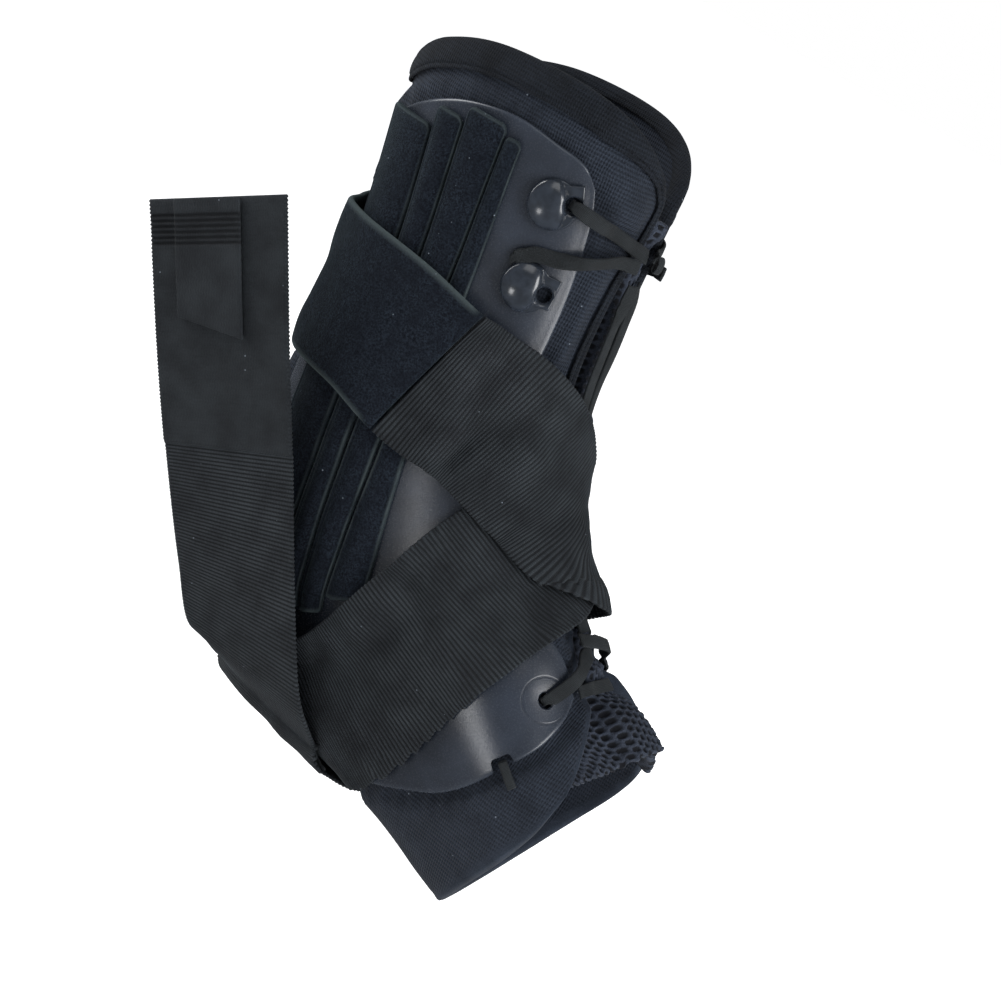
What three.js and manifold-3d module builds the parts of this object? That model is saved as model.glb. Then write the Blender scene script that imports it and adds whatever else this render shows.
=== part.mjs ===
// Ankle brace for the right side, in its worn form. Millimetres, +X ahead, +Z up, +Y to the medial side.
// The origin is the ankle centre. A padded sleeve laces down its front over a tongue, and a moulded plate
// with velvet stays lies on each side. Two webbing straps cross under the sole: one is fastened, one is free.
import * as THREE from 'three';
import { mergeVertices } from 'three/addons/utils/BufferGeometryUtils.js';
import Module from 'manifold-3d';

const wasm = await Module();
wasm.setup();

// Overall form, from the ankle centre
const collarHeight = 150; // up to the collar
const soleDepth = 105; // down to the sole at the toe end
const toeReach = 117; // ahead to the top of the toe opening
const calfDepth = 70; // back to the collar's rear
const halfWidth = 44; // sideways at the collar

// Walls and gaps
const clearance = 0.45; // between neighbouring layers
const strapClearance = 0.95; // between a wide strap and what it crosses
const sleeveWall = 3;
const tongueWall = 3;
const bindingWall = 1;
const plateWall = 2;
const stayWall = 3.2;
const webbingWall = 1.5;
const pileWall = 2.2;
const patchWall = 1.4;
const laceWall = 1;

// Widths
const strapWidth = 51;
const laceWidth = 6.2;
const bindingWidth = 10;
const edgeBindingWidth = 3.5;

// Lace caps
const capRadius = 8.2;
const capBase = 1.2;
const crownRadius = 6.2;
const crownHeight = 2.6;
const crownSetBack = 1.8;
const tabHalfWidth = 4.6;
const laceHoleRadius = 2.6;
const laceHoleReach = 6.4; // from the cap's middle to its lace hole
const laceHoleEdge = 3.4; // material beyond the hole's middle

// Notch in the lower edge of a plate
const notchWidth = 7;
const notchDepth = 5;

// Knot of the laces
const knotLength = 8.4;
const knotWidth = 6.8;
const knotHeight = 4;

// Free end of the second strap
const freeRise = 156; // from the sole edge to its top
const freeLeanBack = 86; // how far its top leans back
const freeStandOff = 29; // how far its top stands out sideways
const patchLength = 38; // along its rear edge
const patchWidth = 24.5;
const patchInset = 10.5; // from the free end's rear edge
const patchSlant = 7; // how much further its forward edge reaches down

// Heights above the outer face of the sleeve
const plateBase = clearance;
const plateTop = plateBase + plateWall;
const stayBase = plateTop + clearance;
const stayTop = stayBase + stayWall;
const bindingTop = clearance + bindingWall;
const tongueTop = -(sleeveWall + bindingWall + 2 * clearance);

// Sections from the collar down the shaft, round the heel and out to the toe end. frontX is a share of
// toeReach, backX of calfDepth behind the ankle and toeReach ahead of it, the two Z of collarHeight above the
// ankle and soleDepth below it, and side of halfWidth. power is the squareness of the oval, and lean, in
// degrees, tips its front towards the lateral side.
const sections = [
  { frontX: 0.265, frontZ: 1.0, backX: -1.0, backZ: 1.0, side: 1.0, power: 2.1, lean: 0 },
  { frontX: 0.274, frontZ: 0.75, backX: -0.89, backZ: 0.75, side: 0.955, power: 2.1, lean: 0 },
  { frontX: 0.3, frontZ: 0.52, backX: -0.8, backZ: 0.49, side: 0.91, power: 2.1, lean: 0 },
  { frontX: 0.35, frontZ: 0.32, backX: -0.77, backZ: 0.23, side: 0.886, power: 2.1, lean: 1 },
  { frontX: 0.436, frontZ: 0.15, backX: -0.76, backZ: -0.06, side: 0.886, power: 2.1, lean: 3 },
  { frontX: 0.538, frontZ: 0.03, backX: -0.77, backZ: -0.4, side: 0.864, power: 2.2, lean: 6 },
  { frontX: 0.624, frontZ: -0.06, backX: -0.7, backZ: -0.72, side: 0.82, power: 2.3, lean: 10 },
  { frontX: 0.7, frontZ: -0.14, backX: -0.26, backZ: -0.85, side: 0.84, power: 2.5, lean: 14 },
  { frontX: 0.778, frontZ: -0.22, backX: 0.15, backZ: -0.88, side: 0.886, power: 2.6, lean: 18 },
  { frontX: 0.88, frontZ: -0.29, backX: 0.44, backZ: -0.92, side: 0.93, power: 2.6, lean: 22 },
  { frontX: 1.0, frontZ: -0.37, backX: 0.73, backZ: -1.0, side: 0.98, power: 2.6, lean: 25 },
];

// A place on the sleeve is written [t, angle]: t runs from 0 at the collar to 1 at the toe end, and angle is
// in degrees round the section, 0 ahead, -90 lateral, 90 medial, and 180 or -180 at the back and the sole.

// The sleeve's edges, on the lateral side; the front opening's medial edge mirrors its lateral one
const collarEdge = [[0.056, -19], [0.032, -40], [0.02, -62], [0.023, -101], [0.042, -130], [0.066, -158],
  [0.07, -180]];
const frontEdge = [[0.056, -19], [0.075, -11], [0.1, -11], [0.16, -17], [0.26, -21], [0.4, -14], [0.52, -4],
  [0.62, 0], [0.72, 2], [0.82, 0], [0.89, -12], [0.94, -23], [0.972, -33]];
const toeEdge = [[0.972, -33], [0.993, -48], [1, -66], [1, -108], [1, -144], [1, -162]];

// The outline of a plate, on the lateral side
const plateTopEdge = [[0.086, -49], [0.072, -56], [0.067, -68], [0.063, -85], [0.07, -103], [0.082, -118],
  [0.118, -150]];
const plateFrontEdge = [[0.086, -49], [0.113, -45], [0.175, -42], [0.24, -43], [0.38, -50], [0.5, -42],
  [0.65, -20], [0.738, -12], [0.806, -12]];
const plateLowEdge = [[0.806, -12], [0.85, -22], [0.881, -35], [0.893, -50], [0.9, -68], [0.894, -84],
  [0.875, -100], [0.855, -114]];
const plateBackEdge = [[0.118, -150], [0.2, -149], [0.4, -142], [0.55, -126], [0.7, -112], [0.855, -114]];
const plateNotch = [0.9, -51];
const aboveNotch = [0.85, -51];
const plateEyelet = [0.794, -27];
const beyondEyelet = [0.794, -17];

// Velvet stays on a plate: where each starts and ends, and its back and front edges at its two ends
const stays = [
  { top: 0.105, foot: 0.58, backTop: -145, frontTop: -117, backFoot: -118, frontFoot: -104.5 },
  { top: 0.086, foot: 0.592, backTop: -116, frontTop: -104, backFoot: -103.5, frontFoot: -97 },
  { top: 0.073, foot: 0.596, backTop: -103, frontTop: -87, backFoot: -96, frontFoot: -89.5 },
  { top: 0.08, foot: 0.575, backTop: -86, frontTop: -80, backFoot: -88.5, frontFoot: -77 },
];

// Lace caps: the middle of each and its lace hole's side of it
const caps = [
  { middle: [0.113, -62], towards: [0.103, -52] },
  { middle: [0.188, -60], towards: [0.188, -50] },
];

// Middle lines of the straps. The first runs from its seam at the instep down the lateral side, under the
// sole, up the medial side, over the front and back across the lateral side to the rear of the shaft.
const strap1Line = [[0.45, -18], [0.519, -39], [0.631, -60], [0.738, -93], [0.778, -137], [0.765, -180],
  [0.705, -222], [0.62, -252], [0.54, -282], [0.49, -318], [0.455, -357], [0.381, -382], [0.325, -411],
  [0.3, -439], [0.276, -464], [0.262, -502], [0.252, -540], [0.246, -582], [0.242, -606]];
const strap1Seam = 0.765; // share of its length where the webbing meets the velvet end
const strap2Line = [[0.715, 80], [0.745, 105], [0.782, 138], [0.795, 165], [0.788, 197], [0.75, 222],
  [0.71, 236]];
const strap2StartSlant = { over: -60, run: 45 }; // its sewn end is cut along the first strap's lower edge

// Forward edge of the second strap's free end, from where it leaves the sole: shares of freeRise,
// freeLeanBack and freeStandOff. dip and turn, in degrees, are how far its width slopes down and in to its
// rear edge.
const freeRows = [
  { rise: 0.1, back: 0.09, out: 0.52, dip: 2, turn: 12 },
  { rise: 0.27, back: 0.267, out: 0.66, dip: 14, turn: 16 },
  { rise: 0.545, back: 0.544, out: 0.77, dip: 25, turn: 13 },
  { rise: 0.725, back: 0.727, out: 0.87, dip: 28, turn: 11 },
  { rise: 1.0, back: 1.0, out: 1.0, dip: 30, turn: 8 },
];
const freeSeamRow = 3; // the row where its webbing meets the velvet end, counted from 1

// Laces on the sleeve, from their caps and holes to the knot, down the front and across the toe end
const knotPlace = [0.124, -8];
const besideKnot = [0.124, 2];
const laceLines = {
  lace_long_1: [[0.15, -1], [0.17, 8], [0.21, 6], [0.28, 0], [0.36, 3], [0.46, 10], [0.56, 18], [0.66, 24]],
  lace_long_2: [[0.15, -13], [0.19, -9], [0.25, -14], [0.36, -11], [0.46, -4], [0.56, 4], [0.65, 8]],
  lace_upper_lateral: [[0.1075, -50.5], [0.111, -40], [0.116, -25], [0.122, -10.5]],
  lace_upper_medial: [[0.1075, 51.5], [0.111, 40], [0.116, 17], [0.122, -5]],
  lace_second_lateral: [[0.156, -64], [0.155, -52], [0.143, -40], [0.134, -28], [0.132, -18]],
  lace_second_medial: [[0.156, 68], [0.155, 56], [0.143, 40], [0.134, 20], [0.132, 2]],
  lace_lower_bar: [[0.795, -10], [0.796, 6], [0.801, 23]],
  lace_lower_1: [[0.792, -24.5], [0.763, -12], [0.706, 3], [0.682, 12]],
  lace_lower_2: [[0.668, -7], [0.682, 6], [0.713, 25], [0.76, 43], [0.79, 58]],
};

// How finely the surfaces are divided
const walkStep = 5;
const strapRowStep = 7;
const strapColumns = 6;
const laceRowStep = 6.5;

// Finishes
const finish = (color, roughness) => new THREE.MeshStandardMaterial({ color, roughness, metalness: 0 });
const meshCloth = finish(0x1c222e, 0.95);
const plateSheet = finish(0x3c4048, 0.5);
const velvet = finish(0x141820, 1);
const webbing = finish(0x282c30, 0.85);
const bindingTape = finish(0x20242c, 0.8);
const glossCap = finish(0x2a303a, 0.25);
const laceTape = finish(0x343838, 0.85);

// Form

const above = (share) => (share > 0 ? share * collarHeight : share * soleDepth);
const ahead = (share) => (share > 0 ? share * toeReach : share * calfDepth);

// The sections' value of one kind at t, on a smooth curve through the table
function shapeAt(t, column) {
  const last = sections.length - 1;
  const place = t * last;
  const row = THREE.MathUtils.clamp(Math.floor(place), 0, last - 1);
  const value = (k) => {
    if (k < 0) return 2 * sections[0][column] - sections[1][column];
    if (k > last) return 2 * sections[last][column] - sections[last - 1][column];
    return sections[k][column];
  };
  const [a, b, c, d] = [value(row - 1), value(row), value(row + 1), value(row + 2)];
  const s = place - row;
  return b + 0.5 * s * (c - a + s * (2 * a - 5 * b + 4 * c - d + s * (3 * (b - c) + d - a)));
}

function sectionMiddle(t) {
  const x = (ahead(shapeAt(t, 'frontX')) + ahead(shapeAt(t, 'backX'))) / 2;
  const z = (above(shapeAt(t, 'frontZ')) + above(shapeAt(t, 'backZ'))) / 2;
  return new THREE.Vector3(x, 0, z);
}

// The outer face of the sleeve
function surface(t, angle) {
  const middle = sectionMiddle(t);
  const front = new THREE.Vector3(ahead(shapeAt(t, 'frontX')), 0, above(shapeAt(t, 'frontZ'))).sub(middle);
  const depth = front.length();
  const turn = THREE.MathUtils.degToRad(angle);
  const [c, s] = [Math.cos(turn), Math.sin(turn)];
  const power = shapeAt(t, 'power');
  const reach = (Math.abs(c) ** power + Math.abs(s) ** power) ** (-1 / power);
  const lean = THREE.MathUtils.degToRad(shapeAt(t, 'lean'));
  const u = reach * c * depth;
  const v = reach * s * shapeAt(t, 'side') * halfWidth;
  const forward = u * Math.cos(lean) + v * Math.sin(lean);
  const sideways = v * Math.cos(lean) - u * Math.sin(lean);
  return middle.addScaledVector(front, forward / depth).add(new THREE.Vector3(0, sideways, 0));
}

// The surface's point, its slopes along t and round the section, and its outward normal
function frameAt(t, angle) {
  const [dt, da] = [0.001, 0.3];
  const along = surface(t + dt, angle).sub(surface(t - dt, angle)).divideScalar(2 * dt);
  const around = surface(t, angle + da).sub(surface(t, angle - da)).divideScalar(2 * da);
  const point = surface(t, angle);
  const normal = new THREE.Vector3().crossVectors(around, along).normalize();
  if (normal.dot(point.clone().sub(sectionMiddle(t))) < 0) normal.negate();
  return { point, along, around, normal };
}

function raised(t, angle, height) {
  const { point, normal } = frameAt(t, angle);
  return point.addScaledVector(normal, height);
}

// The place reached from [t, angle] by going a distance over the surface in a heading
function walk([t, angle], heading, distance) {
  const steps = Math.max(1, Math.ceil(Math.abs(distance) / walkStep));
  const direction = heading.clone();
  const step = distance / steps;
  for (let i = 0; i < steps; i += 1) {
    const { along, around, normal } = frameAt(t, angle);
    direction.projectOnPlane(normal).normalize();
    const [a, b, c] = [along.dot(along), along.dot(around), around.dot(around)];
    const [p, q] = [along.dot(direction), around.dot(direction)];
    const det = a * c - b * b;
    t += (step * (p * c - q * b)) / det;
    angle += (step * (q * a - p * b)) / det;
  }
  return [t, angle];
}

// The middle of the front opening, which leans to the medial side below the ankle
function openingMiddle(t) {
  return 1 + 17 * THREE.MathUtils.smoothstep(t, 0.3, 0.7);
}
const mirrored = ([t, angle]) => [t, 2 * openingMiddle(t) - angle];

// Curves over the surface, evenly spaced by rough length
const lengthPerT = 300;
const lengthPerDegree = 0.8;

function lineOver(places) {
  const curve = new THREE.CatmullRomCurve3(
    places.map(([t, angle]) => new THREE.Vector3(t * lengthPerT, angle * lengthPerDegree, 0)),
    false, 'centripetal',
  );
  curve.arcLengthDivisions = 400;
  const placeAt = (share) => {
    const p = curve.getPointAt(THREE.MathUtils.clamp(share, 0, 1));
    return [p.x / lengthPerT, p.y / lengthPerDegree];
  };
  return { placeAt, length: curve.getLength() };
}

// A place inside four edges that meet at their ends
function placeWithin({ top, low, first, last }, u, v) {
  const [a, b, c, d] = [top.placeAt(u), low.placeAt(u), first.placeAt(v), last.placeAt(v)];
  const corners = [top.placeAt(0), top.placeAt(1), low.placeAt(0), low.placeAt(1)];
  return [0, 1].map((k) => (1 - v) * a[k] + v * b[k] + (1 - u) * c[k] + u * d[k]
    - (1 - v) * ((1 - u) * corners[0][k] + u * corners[1][k])
    - v * ((1 - u) * corners[2][k] + u * corners[3][k]));
}

// Solids

// A closed wall from rows of points, each with an inner and an outer place
function wallGeometry(rows) {
  const [count, width] = [rows.length, rows[0].length];
  const points = [...rows.flat().map((p) => p.outer), ...rows.flat().map((p) => p.inner)];
  const outer = (i, j) => i * width + j;
  const inner = (i, j) => count * width + i * width + j;
  const faces = [];
  const quad = (a, b, c, d) => faces.push(a, b, c, a, c, d);
  for (let i = 0; i < count - 1; i += 1) {
    for (let j = 0; j < width - 1; j += 1) {
      quad(outer(i, j), outer(i, j + 1), outer(i + 1, j + 1), outer(i + 1, j));
      quad(inner(i, j), inner(i + 1, j), inner(i + 1, j + 1), inner(i, j + 1));
    }
    quad(outer(i, 0), outer(i + 1, 0), inner(i + 1, 0), inner(i, 0));
    quad(outer(i, width - 1), inner(i, width - 1), inner(i + 1, width - 1), outer(i + 1, width - 1));
  }
  for (let j = 0; j < width - 1; j += 1) {
    quad(outer(0, j), inner(0, j), inner(0, j + 1), outer(0, j + 1));
    quad(outer(count - 1, j), outer(count - 1, j + 1), inner(count - 1, j + 1), inner(count - 1, j));
  }
  return closedGeometry(points, faces);
}

// An indexed geometry with its faces pointing out
function closedGeometry(points, faces) {
  const signed = (k) => {
    const [a, b, c] = [points[faces[k]], points[faces[k + 1]], points[faces[k + 2]]];
    return a.dot(new THREE.Vector3().crossVectors(b, c));
  };
  let volume = 0;
  for (let k = 0; k < faces.length; k += 3) volume += signed(k);
  const index = volume > 0 ? faces : [...faces].reverse();
  const geometry = new THREE.BufferGeometry().setFromPoints(points);
  geometry.setIndex(index);
  return geometry;
}

// A body for joining and cutting
function bodyOf(geometry) {
  const bare = geometry.clone();
  bare.deleteAttribute('normal');
  bare.deleteAttribute('uv');
  const merged = mergeVertices(bare, 1e-4);
  const vertProperties = new Float32Array(merged.attributes.position.array);
  const triVerts = new Uint32Array(merged.index.array);
  return new wasm.Manifold(new wasm.Mesh({ numProp: 3, vertProperties, triVerts }));
}

function geometryOf(body) {
  const mesh = body.getMesh();
  const geometry = new THREE.BufferGeometry();
  geometry.setAttribute('position', new THREE.BufferAttribute(mesh.vertProperties, mesh.numProp));
  geometry.setIndex(new THREE.BufferAttribute(mesh.triVerts, 1));
  return geometry;
}

// The turned frame of something that lies on the surface: X towards a second place, Z out of the surface
function seatAt(place, towards, height) {
  const { normal } = frameAt(...place);
  const origin = raised(...place, height);
  const x = raised(...towards, height).sub(origin).projectOnPlane(normal).normalize();
  const y = new THREE.Vector3().crossVectors(normal, x);
  return new THREE.Matrix4().makeBasis(x, y, normal).setPosition(origin);
}

// Layers already laid: where they are on the surface, and how high they reach
const laid = [];
const rowsApart = 6; // a strap's own rows that never lift it

function lay(samples) {
  for (const { place, ...sample } of samples) laid.push({ point: surface(...place), ...sample });
}

// How high what is already laid reaches at a place, eased off beyond it; a ribbon's own near rows don't count
function reachedAt(place, { near, far }, { piece, row }) {
  const point = surface(...place);
  return laid.reduce((high, other) => {
    const own = other.piece !== undefined && other.piece === piece && Math.abs(other.row - row) < rowsApart;
    const distance = point.distanceTo(other.point);
    if (own || distance > far) return high;
    return Math.max(high, other.top * THREE.MathUtils.smoothstep(-distance, -far, -near));
  }, 0);
}

function layWithin(edges, [rows, columns], top, side) {
  for (let i = 0; i <= rows; i += 1) {
    for (let j = 0; j <= columns; j += 1) {
      const place = side(placeWithin(edges, j / columns, i / rows));
      lay([{ place, top }]);
    }
  }
}

const wideReach = { near: 9, far: 17 };
const narrowReach = { near: 6.5, far: 10 };
const knotReach = { near: 2.2, far: 7 };

// Sleeve, tongue and binding

const sleeveRows = 20;
const sleeveColumns = 36;
const wholeTurn = 360;

// The lateral half of an edge, then its mirror on the medial side
function wrapped(places) {
  const medial = places.slice(0, -1).reverse().map(mirrored).map(([t, angle]) => [t, angle - wholeTurn]);
  return lineOver([...places, ...medial]);
}

const sleeveEdges = {
  top: wrapped(collarEdge),
  low: wrapped(toeEdge),
  first: lineOver(frontEdge),
  last: lineOver(frontEdge.map(mirrored).map(([t, angle]) => [t, angle - wholeTurn])),
};

// Rows of wall points inside four edges, from a height below to a height above
function rowsWithin(edges, [rows, columns], low, high, side = (place) => place) {
  return Array.from({ length: rows + 1 }, (_, i) => Array.from({ length: columns + 1 }, (__, j) => {
    const [u, v] = [j / columns, i / rows];
    const place = side(placeWithin(edges, u, v));
    return { place, inner: raised(...place, low(u, v)), outer: raised(...place, high(u, v)) };
  }));
}

const sleeveGrid = rowsWithin(sleeveEdges, [sleeveRows, sleeveColumns], () => -sleeveWall, () => 0);

// The tongue stands up into the front opening, and lies under the sleeve on both sides of it
const tongueTopEnd = 0.09;
const tongueToeEnd = { lateral: 0.965, medial: 1 };
const tongueHalfAngle = { top: 30, toe: 46 };
const tongueRidge = { flat: 0, foot: 7 }; // degrees from the opening's middle
const tongueRidgeTop = -0.6;

function tongueGeometry() {
  const [rows, columns] = [13, 6];
  const grid = Array.from({ length: rows + 1 }, (_, i) => Array.from({ length: columns + 1 }, (__, j) => {
    const toeEnd = THREE.MathUtils.lerp(tongueToeEnd.lateral, tongueToeEnd.medial, j / columns);
    const t = THREE.MathUtils.lerp(tongueTopEnd, toeEnd, i / rows);
    const half = THREE.MathUtils.lerp(tongueHalfAngle.top, tongueHalfAngle.toe, i / rows);
    const off = half * ((2 * j) / columns - 1);
    const ridge = THREE.MathUtils.smoothstep(-Math.abs(off), -tongueRidge.foot, -tongueRidge.flat);
    const top = THREE.MathUtils.lerp(tongueTop, tongueRidgeTop, ridge);
    const angle = openingMiddle(t) + off;
    return { inner: raised(t, angle, top - tongueWall), outer: raised(t, angle, top) };
  }));
  return wallGeometry(grid);
}

// A folded tape over the sleeve's edge: its section, as distances in from the edge and heights
function bindingSection(width) {
  const out = clearance + bindingWall;
  return [
    [width, clearance], [width, bindingTop], [-out, bindingTop], [-out, -sleeveWall - out],
    [edgeBindingWidth, -sleeveWall - out], [edgeBindingWidth, -sleeveWall - clearance],
    [-clearance, -sleeveWall - clearance], [-clearance, clearance],
  ];
}

function bindingGeometry() {
  const frontSteps = 5; // rows of the sleeve that the tape runs down each front edge
  const cornerSteps = 4; // columns of the sleeve over which it widens
  const stations = [];
  const alongFront = (column, row) => stations.push([sleeveGrid[row][column].place, edgeBindingWidth]);
  for (let i = frontSteps; i > 0; i -= 1) alongFront(0, i);
  for (let j = 0; j <= sleeveColumns; j += 1) {
    const fromFront = Math.min(j, sleeveColumns - j);
    const widened = THREE.MathUtils.smoothstep(fromFront, 0, cornerSteps);
    const width = THREE.MathUtils.lerp(edgeBindingWidth, bindingWidth, widened);
    stations.push([sleeveGrid[0][j].place, width]);
  }
  for (let i = 1; i <= frontSteps; i += 1) alongFront(sleeveColumns, i);
  const points = stations.flatMap(([place, width], k) => {
    const next = surface(...stations[Math.min(k + 1, stations.length - 1)][0]);
    const tangent = next.sub(surface(...stations[Math.max(k - 1, 0)][0])).normalize();
    const inward = new THREE.Vector3().crossVectors(frameAt(...place).normal, tangent);
    const across = [-clearance - bindingWall, width / 2, width];
    lay(across.map((distance) => ({ place: walk(place, inward, distance), top: bindingTop })));
    const section = bindingSection(width);
    return section.map(([distance, height]) => raised(...walk(place, inward, distance), height));
  });
  return sweptGeometry(points, bindingSection(bindingWidth).map((p) => new THREE.Vector2(...p)));
}

// A solid through equal outlines, one after another, closed at both ends
function sweptGeometry(points, outline) {
  const size = outline.length;
  const count = points.length / size;
  const faces = [];
  for (let k = 0; k < count - 1; k += 1) {
    for (let i = 0; i < size; i += 1) {
      const [a, b] = [k * size + i, k * size + ((i + 1) % size)];
      faces.push(a, b, b + size, a, b + size, a + size);
    }
  }
  for (const [a, b, c] of THREE.ShapeUtils.triangulateShape(outline, [])) {
    const first = THREE.ShapeUtils.isClockWise(outline) ? [a, b, c] : [c, b, a];
    faces.push(...first, ...[...first].reverse().map((k) => k + (count - 1) * size));
  }
  return closedGeometry(points, faces);
}

// Plates, stays and lace caps

const plateEdges = {
  top: lineOver(plateTopEdge),
  low: lineOver(plateLowEdge),
  first: lineOver(plateFrontEdge),
  last: lineOver(plateBackEdge),
};
const plateGridSize = [16, 10];
const capSeat = plateTop + clearance;
const drillDepth = 12;

// A round tool across the surface, for a lace hole
function drill(place, towards) {
  const tool = new THREE.CylinderGeometry(laceHoleRadius, laceHoleRadius, drillDepth, 10);
  return bodyOf(tool.rotateX(Math.PI / 2).applyMatrix4(seatAt(place, towards, 0)));
}

// A round-ended slot that runs out over the plate's lower edge
function notchTool(place, towards) {
  const half = notchWidth / 2;
  const slot = new THREE.Shape();
  slot.absarc(notchDepth - half, 0, half, -Math.PI / 2, Math.PI / 2, false);
  slot.lineTo(-2 * notchDepth, half);
  slot.lineTo(-2 * notchDepth, -half);
  const tool = new THREE.ExtrudeGeometry(slot, { depth: drillDepth, bevelEnabled: false, curveSegments: 8 });
  return bodyOf(tool.translate(0, 0, -drillDepth / 2).applyMatrix4(seatAt(place, towards, 0)));
}

function plateGeometry(side) {
  const grid = rowsWithin(plateEdges, plateGridSize, () => plateBase, () => plateTop, side);
  layWithin(plateEdges, [44, 15], plateTop, side);
  let body = bodyOf(wallGeometry(grid));
  const holes = caps.map((cap) => [capHole(cap, side), side(cap.towards)]);
  holes.push([side(plateEyelet), side(beyondEyelet)]);
  for (const [place, towards] of holes) body = body.subtract(drill(place, towards));
  return geometryOf(body.subtract(notchTool(side(plateNotch), side(aboveNotch))));
}

function capHole({ middle, towards }, side) {
  const place = side(middle);
  const heading = surface(...side(towards)).sub(surface(...place));
  return walk(place, heading, laceHoleReach);
}

function stayGeometry(stay, side) {
  const edges = {
    top: lineOver([[stay.top, stay.frontTop], [stay.top, stay.backTop]]),
    low: lineOver([[stay.foot, stay.frontFoot], [stay.foot, stay.backFoot]]),
    first: lineOver([[stay.top, stay.frontTop], [stay.foot, stay.frontFoot]]),
    last: lineOver([[stay.top, stay.backTop], [stay.foot, stay.backFoot]]),
  };
  const [rows, columns] = [11, 2];
  const edgeShare = 0.6; // how much of the stay's wall its edges keep
  const crown = (u) => stayBase + stayWall * (edgeShare + (1 - edgeShare) * Math.sin(Math.PI * u));
  const grid = rowsWithin(edges, [rows, columns], () => stayBase, crown, side);
  layWithin(edges, [24, 2], stayTop, side);
  return wallGeometry(grid);
}

// How high over the surface, at a place, a plane lies that is a given height over a seat
function heightOfPlane(seat, height, place) {
  const { point, normal } = frameAt(...place);
  const up = new THREE.Vector3().setFromMatrixColumn(seat, 2);
  const below = point.sub(new THREE.Vector3().setFromMatrixPosition(seat)).dot(up);
  return (height - below) / normal.dot(up);
}

// A glossy cap: a round base with a flat tab for the lace, and a crown
function capGeometry(cap, side) {
  const hole = new THREE.Path();
  hole.absarc(laceHoleReach, 0, laceHoleRadius, 0, 2 * Math.PI, true);
  const outline = new THREE.Shape();
  const tabStart = Math.asin(tabHalfWidth / capRadius);
  outline.absarc(0, 0, capRadius, tabStart, 2 * Math.PI - tabStart, false);
  outline.lineTo(laceHoleReach + laceHoleEdge, -tabHalfWidth);
  outline.lineTo(laceHoleReach + laceHoleEdge, tabHalfWidth);
  outline.holes.push(hole);
  const base = new THREE.ExtrudeGeometry(outline, { depth: capBase, bevelEnabled: false, curveSegments: 8 });
  const profile = [];
  const profileSteps = 4;
  profile.push(new THREE.Vector2(0, 0), new THREE.Vector2(crownRadius, 0));
  for (let k = 1; k < profileSteps; k += 1) {
    const turn = (k / profileSteps) * (Math.PI / 2);
    profile.push(new THREE.Vector2(crownRadius * Math.cos(turn), capBase / 2 + crownHeight * Math.sin(turn)));
  }
  profile.push(new THREE.Vector2(0, capBase / 2 + crownHeight));
  const crown = new THREE.LatheGeometry(profile, 14).rotateX(Math.PI / 2);
  const body = bodyOf(base).add(bodyOf(crown.translate(-crownSetBack, 0, capBase / 2)));
  const place = side(cap.middle);
  const seat = seatAt(place, side(cap.towards), capSeat);
  const heading = new THREE.Vector3().setFromMatrixColumn(seat, 0);
  const sideways = new THREE.Vector3().setFromMatrixColumn(seat, 1);
  for (const reach of [capRadius / 2, laceHoleReach, laceHoleReach + laceHoleEdge]) {
    const middle = walk(place, heading, reach);
    lay([-tabHalfWidth, 0, tabHalfWidth].map((off) => {
      const under = walk(middle, sideways, off);
      return { place: under, top: heightOfPlane(seat, capBase, under) };
    }));
  }
  return geometryOf(body).applyMatrix4(seat);
}

// Straps and laces

const nearShare = 0.004; // of a line's length, either way of a place on it

// Rows of a ribbon laid over the surface and what is already on it
function ribbonRows(piece, line, [from, to], form, firstRow = 0, slant = { over: 0, run: 1 }) {
  const steps = Math.max(2, Math.round(((to - from) * line.length) / form.step));
  const rows = [];
  for (let i = 0; i <= steps; i += 1) {
    const share = THREE.MathUtils.lerp(from, to, i / steps);
    const centre = line.placeAt(share);
    const behind = surface(...line.placeAt(share - nearShare));
    const heading = surface(...line.placeAt(share + nearShare)).sub(behind).normalize();
    const across = new THREE.Vector3().crossVectors(heading, frameAt(...centre).normal);
    const own = { piece, row: firstRow + i };
    rows.push(Array.from({ length: form.columns + 1 }, (_, j) => {
      const side = j / form.columns - 0.5;
      const slide = slant.over * side * Math.max(0, 1 - (share * line.length) / slant.run);
      const place = walk(walk(centre, across, form.width * side), heading, slide);
      const base = reachedAt(place, form.reach, own) + form.gap;
      const top = base + form.wall;
      return { place, top, inner: raised(...place, base), outer: raised(...place, top) };
    }));
    lay(rows[i].map(({ place, top }) => ({ place, top, ...own })));
  }
  return rows;
}

const strapForm = (wall) => ({
  width: strapWidth, columns: strapColumns, step: strapRowStep, wall, gap: strapClearance, reach: wideReach,
});
const laceForm = {
  width: laceWidth, columns: 1, step: laceRowStep, wall: laceWall, gap: clearance, reach: narrowReach,
};

function strap1Rows() {
  const line = lineOver(strap1Line);
  const half = clearance / 2 / line.length;
  const web = ribbonRows('strap_1', line, [0, strap1Seam - half], strapForm(webbingWall));
  const pile = ribbonRows('strap_1', line, [strap1Seam + half, 1], strapForm(pileWall), web.length);
  return [web, pile];
}

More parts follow.
